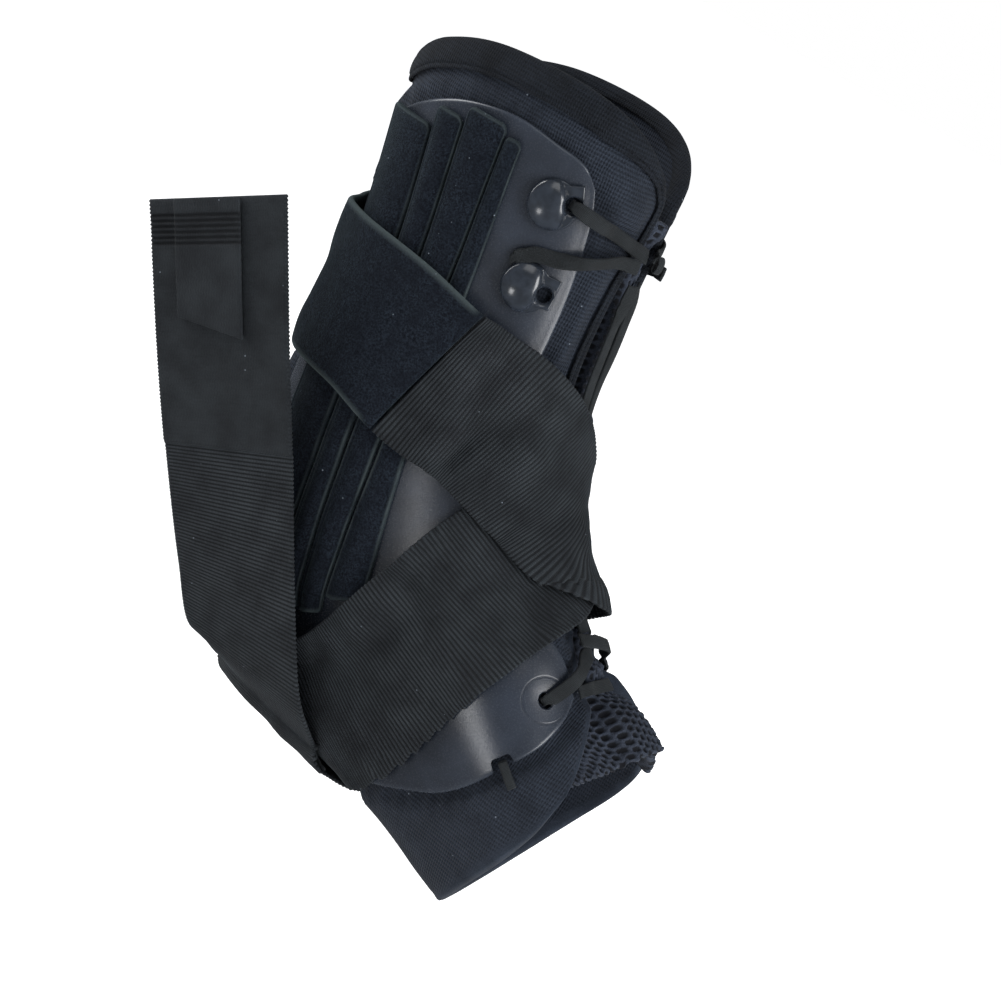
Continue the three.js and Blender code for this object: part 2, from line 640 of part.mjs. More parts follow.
// The free end rises off the last row on the sleeve, along a smooth curve for each column
function freeSpan(laidRows) {
  const start = laidRows.at(-1);
  const forwardEdge = start.at(-1).inner;
  const baseRows = freeRows.map(({ rise, back, out, dip, turn }) => {
    const corner = forwardEdge.clone().add(new THREE.Vector3(-back * freeLeanBack, -out * freeStandOff,
      rise * freeRise));
    const [down, inward] = [THREE.MathUtils.degToRad(dip), THREE.MathUtils.degToRad(turn)];
    const rearward = new THREE.Vector3(-Math.cos(down) * Math.cos(inward), Math.cos(down) * Math.sin(inward),
      -Math.sin(down));
    return start.map((_, j) => corner.clone().addScaledVector(rearward, strapWidth * (1 - j / strapColumns)));
  });
  const curves = start.map((point, j) => new THREE.CatmullRomCurve3(
    [laidRows.at(-2)[j].inner, point.inner, ...baseRows.map((row) => row[j])], false, 'centripetal',
  ));
  return curves;
}

const freeSteps = 20; // along the whole free end

function freeRowsAt(curves, [from, to], wall) {
  const steps = Math.round((to - from) * freeSteps);
  const at = (share) => curves.map((curve) => curve.getPoint(THREE.MathUtils.clamp(share, 0, 1)));
  return Array.from({ length: steps + 1 }, (_, i) => {
    const share = THREE.MathUtils.lerp(from, to, i / steps);
    const [here, before, after] = [at(share), at(share - nearShare), at(share + nearShare)];
    return here.map((inner, j) => {
      const across = here[Math.min(j + 1, here.length - 1)].clone().sub(here[Math.max(j - 1, 0)]);
      const normal = after[j].clone().sub(before[j]).cross(across).normalize();
      if (normal.y > 0) normal.negate();
      return { inner, outer: inner.clone().addScaledVector(normal, wall), normal };
    });
  });
}

// A small slab on the outer face of the free end's last rows
function patchRows(rows) {
  const length = rows[0][0].outer.distanceTo(rows.at(-1)[0].outer);
  const faceAt = (u, v) => {
    const [x, y] = [u * (rows[0].length - 1), v * (rows.length - 1)];
    const [j, i] = [Math.min(Math.floor(x), rows[0].length - 2), Math.min(Math.floor(y), rows.length - 2)];
    const mix = (row) => row[j].outer.clone().lerp(row[j + 1].outer, x - j);
    return { point: mix(rows[i]).lerp(mix(rows[i + 1]), y - i), normal: rows[i][j].normal };
  };
  const [steps, columns] = [5, 3];
  return Array.from({ length: steps + 1 }, (_, i) => Array.from({ length: columns + 1 }, (__, j) => {
    const u = (patchInset + (patchWidth * j) / columns) / strapWidth;
    const low = 1 - (patchLength + (patchSlant * j) / columns) / length;
    const { point, normal } = faceAt(u, THREE.MathUtils.lerp(1, low, i / steps));
    return {
      inner: point.clone().addScaledVector(normal, clearance),
      outer: point.clone().addScaledVector(normal, clearance + patchWall),
    };
  }));
}

function knotGeometry() {
  const height = reachedAt(knotPlace, knotReach, {}) + clearance + knotHeight / 2;
  const seat = seatAt(knotPlace, besideKnot, height);
  const ball = new THREE.SphereGeometry(0.5, 10, 7).scale(knotLength, knotWidth, knotHeight);
  return geometryOf(bodyOf(ball)).applyMatrix4(seat);
}

// Assembly

const brace = new THREE.Group();

function add(name, geometry, material) {
  const mesh = new THREE.Mesh(geometry, material.clone());
  mesh.name = name;
  brace.add(mesh);
}

add('sleeve', wallGeometry(sleeveGrid), meshCloth);
add('tongue', tongueGeometry(), meshCloth);
add('edge_binding', bindingGeometry(), bindingTape);

for (const [prefix, side] of [['lateral', (place) => place], ['medial', mirrored]]) {
  add(`${prefix}_plate`, plateGeometry(side), plateSheet);
  stays.forEach((stay, i) => add(`${prefix}_stay_${i + 1}`, stayGeometry(stay, side), velvet));
  caps.forEach((cap, i) => add(`${prefix}_cap_${i + 1}`, capGeometry(cap, side), glossCap));
}

for (const [name, places] of Object.entries(laceLines)) {
  add(name, wallGeometry(ribbonRows(name, lineOver(places), [0, 1], laceForm)), laceTape);
}
add('lace_knot', knotGeometry(), laceTape);

// The second strap passes outside the first
const [strap1Web, strap1Pile] = strap1Rows();
const strap2Form = strapForm(webbingWall);
const strap2Laid = ribbonRows('strap_2', lineOver(strap2Line), [0, 1], strap2Form, 0, strap2StartSlant);
const freeCurves = freeSpan(strap2Laid);
const freeStations = freeRows.length + 1;
const seamShare = (freeSeamRow + 1) / freeStations;
const seamHalf = clearance / freeRise / 2;
const freeWeb = freeRowsAt(freeCurves, [1 / freeStations, seamShare - seamHalf], webbingWall);
const freePile = freeRowsAt(freeCurves, [seamShare + seamHalf, 1], pileWall);
add('strap_1_webbing', wallGeometry(strap1Web), webbing);
add('strap_1_pile_end', wallGeometry(strap1Pile), velvet);
add('strap_2_webbing', wallGeometry([...strap2Laid, ...freeWeb.slice(1)]), webbing);
add('strap_2_pile_end', wallGeometry(freePile), webbing);
add('strap_2_end_patch', wallGeometry(patchRows(freePile)), webbing);

export default brace;
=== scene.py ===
# %% [markdown]
# An ankle brace in its worn form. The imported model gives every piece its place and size, and this lesson
# dresses it: each piece is made again as a fine mesh on the same curved surface, with cloth, webbing,
# velvet and plastic on it. Everything is in metres, +X ahead, +Z up the shaft, and -Y is the lateral side,
# which the camera sees.

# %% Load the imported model
import math

import bmesh
import bpy
import numpy as np
from mathutils import Matrix, Vector, noise as bpy_noise
from mathutils.kdtree import KDTree


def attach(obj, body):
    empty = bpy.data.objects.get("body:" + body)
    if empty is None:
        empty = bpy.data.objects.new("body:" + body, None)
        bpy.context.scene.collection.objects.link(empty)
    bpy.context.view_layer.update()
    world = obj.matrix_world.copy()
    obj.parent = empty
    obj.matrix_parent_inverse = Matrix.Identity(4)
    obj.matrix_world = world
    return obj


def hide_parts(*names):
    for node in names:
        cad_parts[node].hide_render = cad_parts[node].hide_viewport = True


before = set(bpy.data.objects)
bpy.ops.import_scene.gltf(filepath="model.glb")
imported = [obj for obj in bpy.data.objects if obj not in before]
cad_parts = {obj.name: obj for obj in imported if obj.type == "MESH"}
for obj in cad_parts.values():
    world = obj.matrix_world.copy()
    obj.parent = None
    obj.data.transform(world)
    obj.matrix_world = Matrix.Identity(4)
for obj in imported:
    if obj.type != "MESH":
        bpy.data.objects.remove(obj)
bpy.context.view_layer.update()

mm = 0.001
print("pieces in the packed model:", len(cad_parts))

# %% [markdown]
# The camera comes first. It stands on the lateral side, a little ahead of it and a little above, and it is
# rolled, so that the shaft leans to the right in the picture. A long lens from 0.85 m keeps the two ends of
# the brace in proportion. The axes are built one by one here because a roll is hard to read in Euler angles.

# %% Camera
camera_azimuth = math.radians(15)
camera_elevation = math.radians(12)
camera_roll = math.radians(29)
camera_distance = 0.85
camera_target = Vector((0.035, -0.020, 0.015))

looking = Vector((
    -math.sin(camera_azimuth) * math.cos(camera_elevation),
    math.cos(camera_azimuth) * math.cos(camera_elevation),
    -math.sin(camera_elevation),
))
level_right = Vector((math.cos(camera_azimuth), math.sin(camera_azimuth), 0))
level_up = level_right.cross(looking)
right = math.cos(camera_roll) * level_right + math.sin(camera_roll) * level_up
up = -math.sin(camera_roll) * level_right + math.cos(camera_roll) * level_up

camera_data = bpy.data.cameras.new("camera")
camera_data.lens = 95
camera = bpy.data.objects.new("camera", camera_data)
bpy.context.scene.collection.objects.link(camera)
turn = Matrix((right, up, -looking)).transposed().to_4x4()
camera.matrix_world = Matrix.Translation(camera_target - looking * camera_distance) @ turn
camera_data.clip_start = 0.05
bpy.context.scene.camera = camera
print("camera stands at", [round(x, 3) for x in camera.matrix_world.translation])

# %% [markdown]
# Shader maths is easier to read as Python. A Socket wraps one output of a node, and its operators add the
# Math nodes. A Finish owns one material: its node method makes any node from a type, its settings and what
# goes into it.

# %% A socket that does maths
class Socket:
    def __init__(self, finish, output):
        self.finish = finish
        self.output = output

    def maths(self, operation, *others):
        return self.finish.node("ShaderNodeMath", {"operation": operation}, [self, *others])

    def __add__(self, other):
        return self.maths("ADD", other)

    def __radd__(self, other):
        return self + other

    def __mul__(self, other):
        return self.maths("MULTIPLY", other)

    def __rmul__(self, other):
        return self * other

    def __sub__(self, other):
        return self.maths("SUBTRACT", other)

    def __rsub__(self, other):
        return -1 * self + other

    def __truediv__(self, other):
        return self.maths("DIVIDE", other)

    def smooth(self, low, high):
        """0 below low, 1 above high and a soft step between them."""
        inputs = {"Value": self, "From Min": low, "From Max": high}
        return self.finish.node("ShaderNodeMapRange", {"interpolation_type": "SMOOTHSTEP"}, inputs)

    def wave(self, pitch):
        """A cosine of that pitch, from -1 to 1."""
        return (self * (2 * math.pi / pitch)).maths("COSINE")


# %% A finish is one material
class Finish:
    def __init__(self, name):
        self.material = bpy.data.materials.new(name)
        self.material.use_nodes = True
        self.tree = self.material.node_tree
        self.shader = self.tree.nodes["Principled BSDF"]

    def node(self, kind, settings=None, inputs=None, output=0):
        """Any node: its settings first, then the values or links of its inputs, by place or by name."""
        made = self.tree.nodes.new(kind)
        for key, value in (settings or {}).items():
            setattr(made, key, value)
        pairs = enumerate(inputs) if isinstance(inputs, list) else (inputs or {}).items()
        for key, value in pairs:
            self.put(made.inputs[key], value)
        return Socket(self, made.outputs[output])

    def put(self, socket, value):
        if isinstance(value, Socket):
            self.tree.links.new(value.output, socket)
        else:
            socket.default_value = value

    def set(self, **values):
        """Puts values or links into the Principled shader, with _ for a space."""
        for key, value in values.items():
            self.put(self.shader.inputs[key.replace("_", " ")], value)
        return self

    def noise(self, scale, detail=3, roughness=0.6):
        """Even noise through the space that the object fills, scale times a metre."""
        where = self.node("ShaderNodeTexCoord", output=3)
        inputs = {"Vector": where, "Scale": scale, "Detail": detail, "Roughness": roughness}
        return self.node("ShaderNodeTexNoise", None, inputs)

    def mix(self, factor, low, high):
        """A colour between two colours."""
        return self.node("ShaderNodeMix", {"data_type": "RGBA"}, {0: factor, 6: low, 7: high}, output=2)

    def bump(self, height, distance):
        """A Bump node for the shader's Normal."""
        inputs = {"Height": height, "Distance": distance, "Strength": 1.0}
        return self.set(Normal=self.node("ShaderNodeBump", None, inputs))


def colour(red, green, blue):
    """A screen colour, 0 to 255, as linear light."""
    shares = [x / 255 for x in (red, green, blue)]
    return tuple(((x + 0.055) / 1.055) ** 2.4 if x > 0.04 else x / 12.92 for x in shares) + (1,)


print("shader helpers are ready")

# %% [markdown]
# Every piece of the brace lies on one curved surface, the outer face of the padded sleeve. A place on it is
# (t, angle). t runs from 0 at the collar down the shaft, round the heel and out to 1 at the toe end. The
# angle is in degrees round the section: 0 ahead, -90 lateral, 90 medial and 180 at the back and the sole.
# The table below holds the sections as shares of five lengths, and a smooth curve through its rows gives
# every place between them.

# %% The table of sections
collar_height = 150 * mm
sole_depth = 105 * mm
toe_reach = 117 * mm
rear_depth = 70 * mm
half_width = 44 * mm

# front_x, front_z, back_x, back_z, side, power, lean
sections = np.array([
    (0.265, 1.0, -1.0, 1.0, 1.0, 2.1, 0),
    (0.274, 0.75, -0.89, 0.75, 0.955, 2.1, 0),
    (0.3, 0.52, -0.8, 0.49, 0.91, 2.1, 0),
    (0.35, 0.32, -0.77, 0.23, 0.886, 2.1, 1),
    (0.436, 0.15, -0.76, -0.06, 0.886, 2.1, 3),
    (0.538, 0.03, -0.77, -0.4, 0.864, 2.2, 6),
    (0.624, -0.06, -0.7, -0.72, 0.82, 2.3, 10),
    (0.7, -0.14, -0.26, -0.85, 0.84, 2.5, 14),
    (0.778, -0.22, 0.15, -0.88, 0.886, 2.6, 18),
    (0.88, -0.29, 0.44, -0.92, 0.93, 2.6, 22),
    (1.0, -0.37, 0.73, -1.0, 0.98, 2.6, 25),
])


def through(table, place):
    """Values on a smooth curve through the rows of a table, where place counts rows."""
    rows = np.concatenate([[2 * table[0] - table[1]], table, [2 * table[-1] - table[-2]]])
    row = np.clip(np.floor(place).astype(int), 0, len(table) - 2)
    a, b, c, d = (rows[row + k] for k in range(4))
    s = (place - row).reshape(np.shape(place) + (1,) * (table.ndim - 1))
    return b + 0.5 * s * (c - a + s * (2 * a - 5 * b + 4 * c - d + s * (3 * (b - c) + d - a)))


def surface(t, angle):
    """Points on the outer face of the sleeve."""
    t, angle = np.broadcast_arrays(np.asarray(t, float), np.asarray(angle, float))
    shape = through(sections, t * (len(sections) - 1))
    front_x, front_z, back_x, back_z, side, power, lean = np.moveaxis(shape, -1, 0)
    x_front, x_back = (x * np.where(x > 0, toe_reach, rear_depth) for x in (front_x, back_x))
    z_front, z_back = (z * np.where(z > 0, collar_height, sole_depth) for z in (front_z, back_z))
    half_x, half_z = (x_front - x_back) / 2, (z_front - z_back) / 2
    c, s = np.cos(np.radians(angle)), np.sin(np.radians(angle))
    reach = (np.abs(c) ** power + np.abs(s) ** power) ** (-1 / power)
    depth = np.hypot(half_x, half_z)
    u, v = reach * c * depth, reach * s * side * half_width
    lean = np.radians(lean)
    forward = (u * np.cos(lean) + v * np.sin(lean)) / depth
    sideways = v * np.cos(lean) - u * np.sin(lean)
    return np.stack([x_back + half_x * (1 + forward), sideways, z_back + half_z * (1 + forward)], -1)


def unit(vectors):
    return vectors / np.linalg.norm(vectors, axis=-1, keepdims=True)


def slopes(t, angle):
    """The surface's slopes along t and round the section, and its outward normal."""
    dt, da = 0.001, 0.3
    along = (surface(t + dt, angle) - surface(t - dt, angle)) / (2 * dt)
    around = (surface(t, angle + da) - surface(t, angle - da)) / (2 * da)
    return along, around, unit(np.cross(along, around))


def raised(t, angle, height):
    """Points at a height over the surface."""
    height = np.asarray(height, float)[..., None]
    return surface(t, angle) + slopes(t, angle)[2] * height


outward = slopes(0.3, -90)[2]
print("the lateral side faces", outward.round(2))

# %% [markdown]
# A strap is drawn by walking over the surface, as a tape is laid: from a place, in a heading, for a
# distance. Outlines and middle lines are curves through a few places. They use the centripetal kind of
# Catmull-Rom curve, which doesn't overshoot where the places are unevenly spaced, and they are read at even
# steps of length.

# %% Walking and curves
def dot(a, b):
    return (a * b).sum(-1)


walk_steps = 8


def walk(t, angle, heading, distance):
    """The places reached by going a distance over the surface in a heading."""
    step = np.asarray(distance, float) / walk_steps
    for _ in range(walk_steps):
        along, around, normal = slopes(t, angle)
        heading = unit(heading - normal * dot(heading, normal)[..., None])
        a, b, c = dot(along, along), dot(along, around), dot(around, around)
        p, q = dot(along, heading), dot(around, heading)
        t = t + step * (p * c - q * b) / (a * c - b * b)
        angle = angle + step * (q * a - p * b) / (a * c - b * b)
    return t, angle


def centripetal(points, at):
    """A curve through points, where at runs from 0 to 1 over them."""
    points = np.asarray(points, float)
    ends = [2 * points[0] - points[1]], [2 * points[-1] - points[-2]]
    padded = np.concatenate([ends[0], points, ends[1]])
    gaps = np.linalg.norm(np.diff(padded, axis=0), axis=-1) ** 0.5
    place = np.clip(at, 0, 1) * (len(points) - 1)
    row = np.clip(np.floor(place).astype(int), 0, len(points) - 2)
    s = (place - row).reshape(np.shape(place) + (1,) * (points.ndim - 1))
    a, b, c, d = (padded[row + k] for k in range(4))
    before, here, after = (gaps[row + k][..., None] for k in range(3))
    leave = ((b - a) / before - (c - a) / (before + here)) * here + c - b
    arrive = ((d - c) / after - (d - b) / (here + after)) * here + c - b
    return b + s * (leave + s * (3 * (c - b) - 2 * leave - arrive + s * (2 * (b - c) + leave + arrive)))


class Line:
    """A curve over the surface, read at even steps of its rough length."""
    per_t, per_degree = 300 * mm, 0.8 * mm

    def __init__(self, places):
        self.points = np.array([(t * self.per_t, angle * self.per_degree) for t, angle in places])
        self.at = np.linspace(0, 1, 401)
        steps = np.diff(centripetal(self.points, self.at), axis=0)
        self.lengths = np.concatenate([[0], np.cumsum(np.linalg.norm(steps, axis=-1))])
        self.length = self.lengths[-1]

    def place(self, share):
        share = np.clip(share, 0, 1)
        found = centripetal(self.points, np.interp(share * self.length, self.lengths, self.at))
        return found[..., 0] / self.per_t, found[..., 1] / self.per_degree


def place_within(edges, u, v):
    """A place inside four edges that meet at their ends: top and low run with u, first and last with v."""
    top, low, first, last = edges
    a, b = np.stack(top.place(u)), np.stack(low.place(u))
    c, d = np.stack(first.place(v)), np.stack(last.place(v))
    corner = [[np.stack(edge.place(np.array(float(k)))) for k in (0, 1)] for edge in (top, low)]
    shape = (2,) + (1,) * np.ndim(u)
    (e, f), (g, h) = [[x.reshape(shape) for x in pair] for pair in corner]
    mixed = (1 - v) * a + v * b + (1 - u) * c + u * d
    return mixed - (1 - v) * ((1 - u) * e + u * f) - v * ((1 - u) * g + u * h)


def smooth(x, low, high):
    """0 below low, 1 above high and a soft step between them."""
    s = np.clip((x - low) / (high - low), 0, 1)
    return s * s * (3 - 2 * s)


def opening_middle(t):
    """The middle of the front opening, which leans to the medial side below the ankle."""
    return 1 + 17 * smooth(t, 0.3, 0.7)


def lateral(t, angle):
    return t, angle


def medial(t, angle):
    """The mirror of a lateral place, over the middle of the opening."""
    return t, 2 * opening_middle(t) - angle


sides = (("lateral", lateral), ("medial", medial))
walked = surface(*walk(np.array(0.3), np.array(-90.0), np.array([0, 0, -1.0]), 20 * mm)) - surface(0.3, -90)
print("a walk of 20 mm goes", round(float(np.linalg.norm(walked)) * 1000, 2), "mm")

# %% [markdown]
# A piece of cloth or plate is a thin closed wall: an outer and an inner grid of points that share their
# border. Near the border the wall thins along a quarter of a circle, so its rim is rounded, and the grid
# has extra lines there. Every wall carries a map called place, in metres across and along it, so that a
# weave has its real size.

# %% Closed walls from grids
rim_shares = np.array([0, 0.07, 0.25, 0.58])


def lines_over(width, rim, step):
    """Grid lines over a width, as shares of it, with extra lines at both rims."""
    inner = np.linspace(rim, width - rim, max(2, round((width - 2 * rim) / step) + 1))
    return np.concatenate([rim_shares * rim, inner, width - rim_shares[::-1] * rim]) / width


def rounding(distance, rim):
    """How much of its thickness a wall has at a distance from its border."""
    return np.sqrt(1 - (1 - np.clip(distance / rim, 0, 1)) ** 2)


def new_mesh(name, points, faces, across, along, fields=None):
    """An object from points, faces of three or four corners, and the place of each point in metres."""
    points, faces = np.asarray(points, float), np.asarray(faces)
    a, b, c = (points[faces[:, k]] for k in range(3))
    signed = dot(a, np.cross(b, c)).sum()
    if faces.shape[1] == 4:
        signed += dot(a, np.cross(c, points[faces[:, 3]])).sum()
    if signed < 0:
        faces = faces[:, ::-1]
    mesh = bpy.data.meshes.new(name)
    mesh.vertices.add(len(points))
    mesh.vertices.foreach_set("co", points.ravel())
    mesh.loops.add(faces.size)
    mesh.loops.foreach_set("vertex_index", faces.ravel())
    mesh.polygons.add(len(faces))
    mesh.polygons.foreach_set("loop_start", np.arange(0, faces.size, faces.shape[1]))
    mesh.update(calc_edges=True)
    mesh.polygons.foreach_set("use_smooth", np.ones(len(faces), bool))
    place = mesh.uv_layers.new(name="place")
    flat = np.stack([np.ravel(across), np.ravel(along)], -1)
    place.data.foreach_set("uv", flat[faces.ravel()].ravel())
    for key, values in (fields or {}).items():
        mesh.attributes.new(key, "FLOAT", "POINT").data.foreach_set("value", np.ravel(values))
    made = bpy.data.objects.new(name, mesh)
    bpy.context.scene.collection.objects.link(made)
    return made


def wall(name, outer, inner, across, along, **fields):
    """A closed wall whose two grids share their border."""
    rows, columns = outer.shape[:2]
    number = np.arange(rows * columns).reshape(rows, columns)
    under = number.copy()
    within = (slice(1, -1), slice(1, -1))
    under[within] = rows * columns + np.arange((rows - 2) * (columns - 2)).reshape(rows - 2, columns - 2)

    def quads(grid):
        return np.stack([grid[:-1, :-1], grid[:-1, 1:], grid[1:, 1:], grid[1:, :-1]], -1).reshape(-1, 4)

    def both(grid):
        flat = grid.reshape((rows * columns,) + grid.shape[2:])
        inside = grid[within]
        return np.concatenate([flat, inside.reshape((-1,) + grid.shape[2:])])

    points = np.concatenate([outer.reshape(-1, 3), inner[within].reshape(-1, 3)])
    faces = np.concatenate([quads(number), quads(under)[:, ::-1]])
    named = {key: both(np.broadcast_to(value, (rows, columns))) for key, value in fields.items()}
    return new_mesh(name, points, faces, both(across), both(along), named)


def lengths_over(grid, axis):
    """Metres along a grid of points, in one of its directions."""
    steps = np.linalg.norm(np.diff(grid, axis=axis), axis=-1)
    start = np.zeros_like(np.take(steps, [0], axis=axis))
    return np.concatenate([start, np.cumsum(steps, axis=axis)], axis=axis)


def dress(piece, finish, slot, *nodes):
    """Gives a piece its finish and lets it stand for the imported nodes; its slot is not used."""
    piece.data.materials.append(finish.material)
    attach(piece, "root")
    if nodes:
        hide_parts(*nodes)
    print(piece.name, "has", len(piece.data.polygons), "faces")
    return piece


print("grid lines over a 6 mm lace:", len(lines_over(6 * mm, 1 * mm, 1 * mm)))

# %% [markdown]
# The layers lie on each other as they were put on: binding, plate, stays, caps, laces, then the straps.
# Each layer that is laid down leaves samples of how high it reaches. A strap is lifted by the highest
# sample near it, eased off beyond its edge, so it bridges the steps below it in soft curves, as stiff
# webbing does.

# %% Layers and how high they reach
clearance = 0.45 * mm
strap_clearance = 0.95 * mm
sleeve_wall = 3 * mm
tongue_wall = 3 * mm
binding_wall = 1 * mm
plate_wall = 2 * mm
stay_wall = 3.2 * mm
plate_base = clearance
plate_top = plate_base + plate_wall
stay_base = plate_top + clearance
binding_top = clearance + binding_wall

laid = {"points": [], "tops": [], "pieces": [], "rows": []}
rows_apart = 6


def lay(t, angle, top, piece="", row=0):
    points = surface(t, angle).reshape(-1, 3)
    laid["points"].append(points)
    laid["tops"].append(np.broadcast_to(top, np.shape(t)).ravel())
    laid["pieces"].append(np.full(len(points), piece, dtype="U24"))
    laid["rows"].append(np.full(len(points), row))


def reached(t, angle, near, far, piece="", row=0):
    """How high what is laid already reaches at places. A ribbon's own near rows don't count."""
    points, tops, pieces, rows = (np.concatenate(laid[key]) for key in ("points", "tops", "pieces", "rows"))
    others = (pieces != piece) | (np.abs(rows - row) >= rows_apart) if piece else np.ones(len(tops), bool)
    apart = np.linalg.norm(surface(t, angle)[..., None, :] - points[others], axis=-1)
    return np.maximum(0, (tops[others] * (1 - smooth(apart, near, far))).max(-1))


wide_reach = (9 * mm, 17 * mm)
tight_reach = (6.8 * mm, 13 * mm)
narrow_reach = (6.5 * mm, 10 * mm)
knot_reach = (2.2 * mm, 7 * mm)


def ribbon(piece, line, shares, width, columns, step, base_gap, thick, reach, first_row=0, slant=(0, 1)):
    """Coarse rows of a ribbon: the place, lower and upper height of each of its columns."""
    steps = max(2, round((shares[1] - shares[0]) * line.length / step))
    table = []
    for i, share in enumerate(np.linspace(*shares, steps + 1)):
        side = np.arange(columns + 1) / columns - 0.5
        t, angle = ribbon_place(line, np.full(columns + 1, share), side * width, slant)
        base = reached(t, angle, *reach, piece, first_row + i) + base_gap
        lay(t, angle, base + thick, piece, first_row + i)
        table.append(base)
    return np.array(table)


def ribbon_place(line, share, off, slant=(0, 1)):
    """Places at a share of a ribbon's length and a distance off its middle line."""
    near = 0.004
    t, angle = line.place(share)
    heading = unit(surface(*line.place(share + near)) - surface(*line.place(share - near)))
    across = np.cross(heading, slopes(t, angle)[2])
    slide = slant[0] * off * np.maximum(0, 1 - share * line.length / slant[1])
    t, angle = walk(t, angle, across, off)
    return walk(t, angle, heading, slide) if slant[0] else (t, angle)


print("plate top at", round(plate_top * 1000, 2), "mm, stay top at", round((stay_base + stay_wall) * 1000, 2))

# %% [markdown]
# The sleeve is air mesh: a knitted cloth with rows of tiny dimples. Two slanted cosines, multiplied, give
# staggered dimples of the right pitch, and they dent the surface and paint shade into the colour in each
# dimple together. Sparse white specks of lint lie on it, as on most black cloth.

# %% Air mesh and lint
def fuzz(finish, strength=0.5):
    """Fine, uneven brightness of fibres, from 0 to 1."""
    fine = finish.noise(2600, 2, 0.7)
    broad = finish.noise(90, 3, 0.5)
    return fine * strength + broad * (1 - strength)


def mottled(finish, strength, dark, light):
    """Cloth between two colours, as its fibres catch the light."""
    return finish.mix(fuzz(finish, strength).smooth(0.3, 0.7), colour(*dark), colour(*light))


def specks(finish, scale=420, share=0.035):
    """1 on a few small specks."""
    where = finish.node("ShaderNodeTexCoord", output=3)
    cell = {"Vector": where, "Scale": scale, "Randomness": 1.0}
    near = finish.node("ShaderNodeTexVoronoi", None, cell)
    chosen = finish.node("ShaderNodeTexVoronoi", None, cell, output=1)
    chance = finish.node("ShaderNodeSeparateColor", None, [chosen])
    return (1 - near.smooth(0.05, 0.15)) * (1 - chance.smooth(share, share + 0.01))


def place_of(finish):
    """Metres across and along the piece."""
    uv = finish.node("ShaderNodeUVMap", {"uv_map": "place"})
    split = finish.node("ShaderNodeSeparateXYZ", None, [uv])
    return Socket(finish, split.output.node.outputs[0]), Socket(finish, split.output.node.outputs[1])


def field(finish, name):
    """A number that the mesh carries at each point."""
    return finish.node("ShaderNodeAttribute", {"attribute_name": name}, output=2)


lint = colour(112, 120, 130)

air_mesh = Finish("air_mesh")
dimple_pitch = 1.75 * mm


def boxed(finish, pattern):
    """A flat pattern laid on from three sides of the object, each where the surface faces that way."""
    where = finish.node("ShaderNodeSeparateXYZ", None, [finish.node("ShaderNodeTexCoord", output=3)])
    facing = finish.node("ShaderNodeSeparateXYZ", None, [finish.node("ShaderNodeTexCoord", output=1)])
    x, y, z = (Socket(finish, output) for output in where.output.node.outputs)
    weights = [Socket(finish, output).maths("ABSOLUTE").smooth(0.45, 0.75) + 0.001
               for output in facing.output.node.outputs]
    total = weights[0] + weights[1] + weights[2]
    shown = pattern(y, z) * weights[0] + pattern(x, z) * weights[1] + pattern(x, y) * weights[2]
    return shown / total


def dimple_rows(across, along):
    slanted = along * 0.62
    return ((across + slanted).wave(dimple_pitch) * (across - slanted).wave(dimple_pitch)) * 0.5 + 0.5


dimples = boxed(air_mesh, dimple_rows)
open_mesh = field(air_mesh, "mesh")
hollow_and_shade = (1 - dimples.smooth(0.1, 0.75)) * open_mesh
plain = mottled(air_mesh, 0.6, (23, 27, 34), (42, 48, 58))
# painted shade in each dimple, on top of the dent that the bump makes
dented_and_shaded = air_mesh.mix(hollow_and_shade * 0.62, plain, colour(12, 14, 19))
air_mesh.set(Base_Color=air_mesh.mix(specks(air_mesh), dented_and_shaded, lint), Roughness=0.9)
air_mesh.set(Specular_IOR_Level=0.12, Sheen_Weight=0.03, Sheen_Roughness=0.4)
air_mesh.bump((1 - hollow_and_shade) * 0.5 + fuzz(air_mesh) * 0.25, 0.5 * mm)
print("dimples every", dimple_pitch * 1000, "mm")

# %% [markdown]
# The other cloths differ in their weave. Webbing is woven over crosswise ribs, which are real ridges in its
# mesh, so its finish only adds the threads that run over them and painted shade on the floor between ribs
# and in folds. Binding is twill over the sleeve's own dimples, with painted shade in the dimples and stitches
# along its lower edge. Velvet has no thread that shows: its pile is a fine noise, and a sheen lights it where
# it turns away, as pile does. Its pale edges are partly rubbed pile and partly a painted sheen.

# %% Webbing, binding, velvet and laces
rib_pitch = 1.27 * mm

webbing = Finish("ribbed_webbing")
across, along = place_of(webbing)
threads = (across + along.wave(rib_pitch * 2) * 0.12 * mm).wave(0.62 * mm) * 0.5 + 0.5
# painted shade on the floor between ribs and in folds, read from the ridge field that the meshes carry
floor = 1 - field(webbing, "ridge").smooth(0.15, 0.75)
yarn_and_rib_shade = mottled(webbing, 0.45, (25, 28, 32), (46, 51, 55))
yarn_and_rib_shade = webbing.mix(threads * 0.35, yarn_and_rib_shade, colour(15, 17, 20))
yarn_and_rib_shade = webbing.mix(floor * 0.8, yarn_and_rib_shade, colour(9, 11, 14))
webbing.set(Base_Color=webbing.mix(specks(webbing, 500, 0.02), yarn_and_rib_shade, lint), Roughness=0.82)
webbing.set(Specular_IOR_Level=0.15, Sheen_Weight=0.03, Sheen_Roughness=0.4)
webbing.bump(threads * 0.5 + fuzz(webbing) * 0.5, 0.16 * mm)

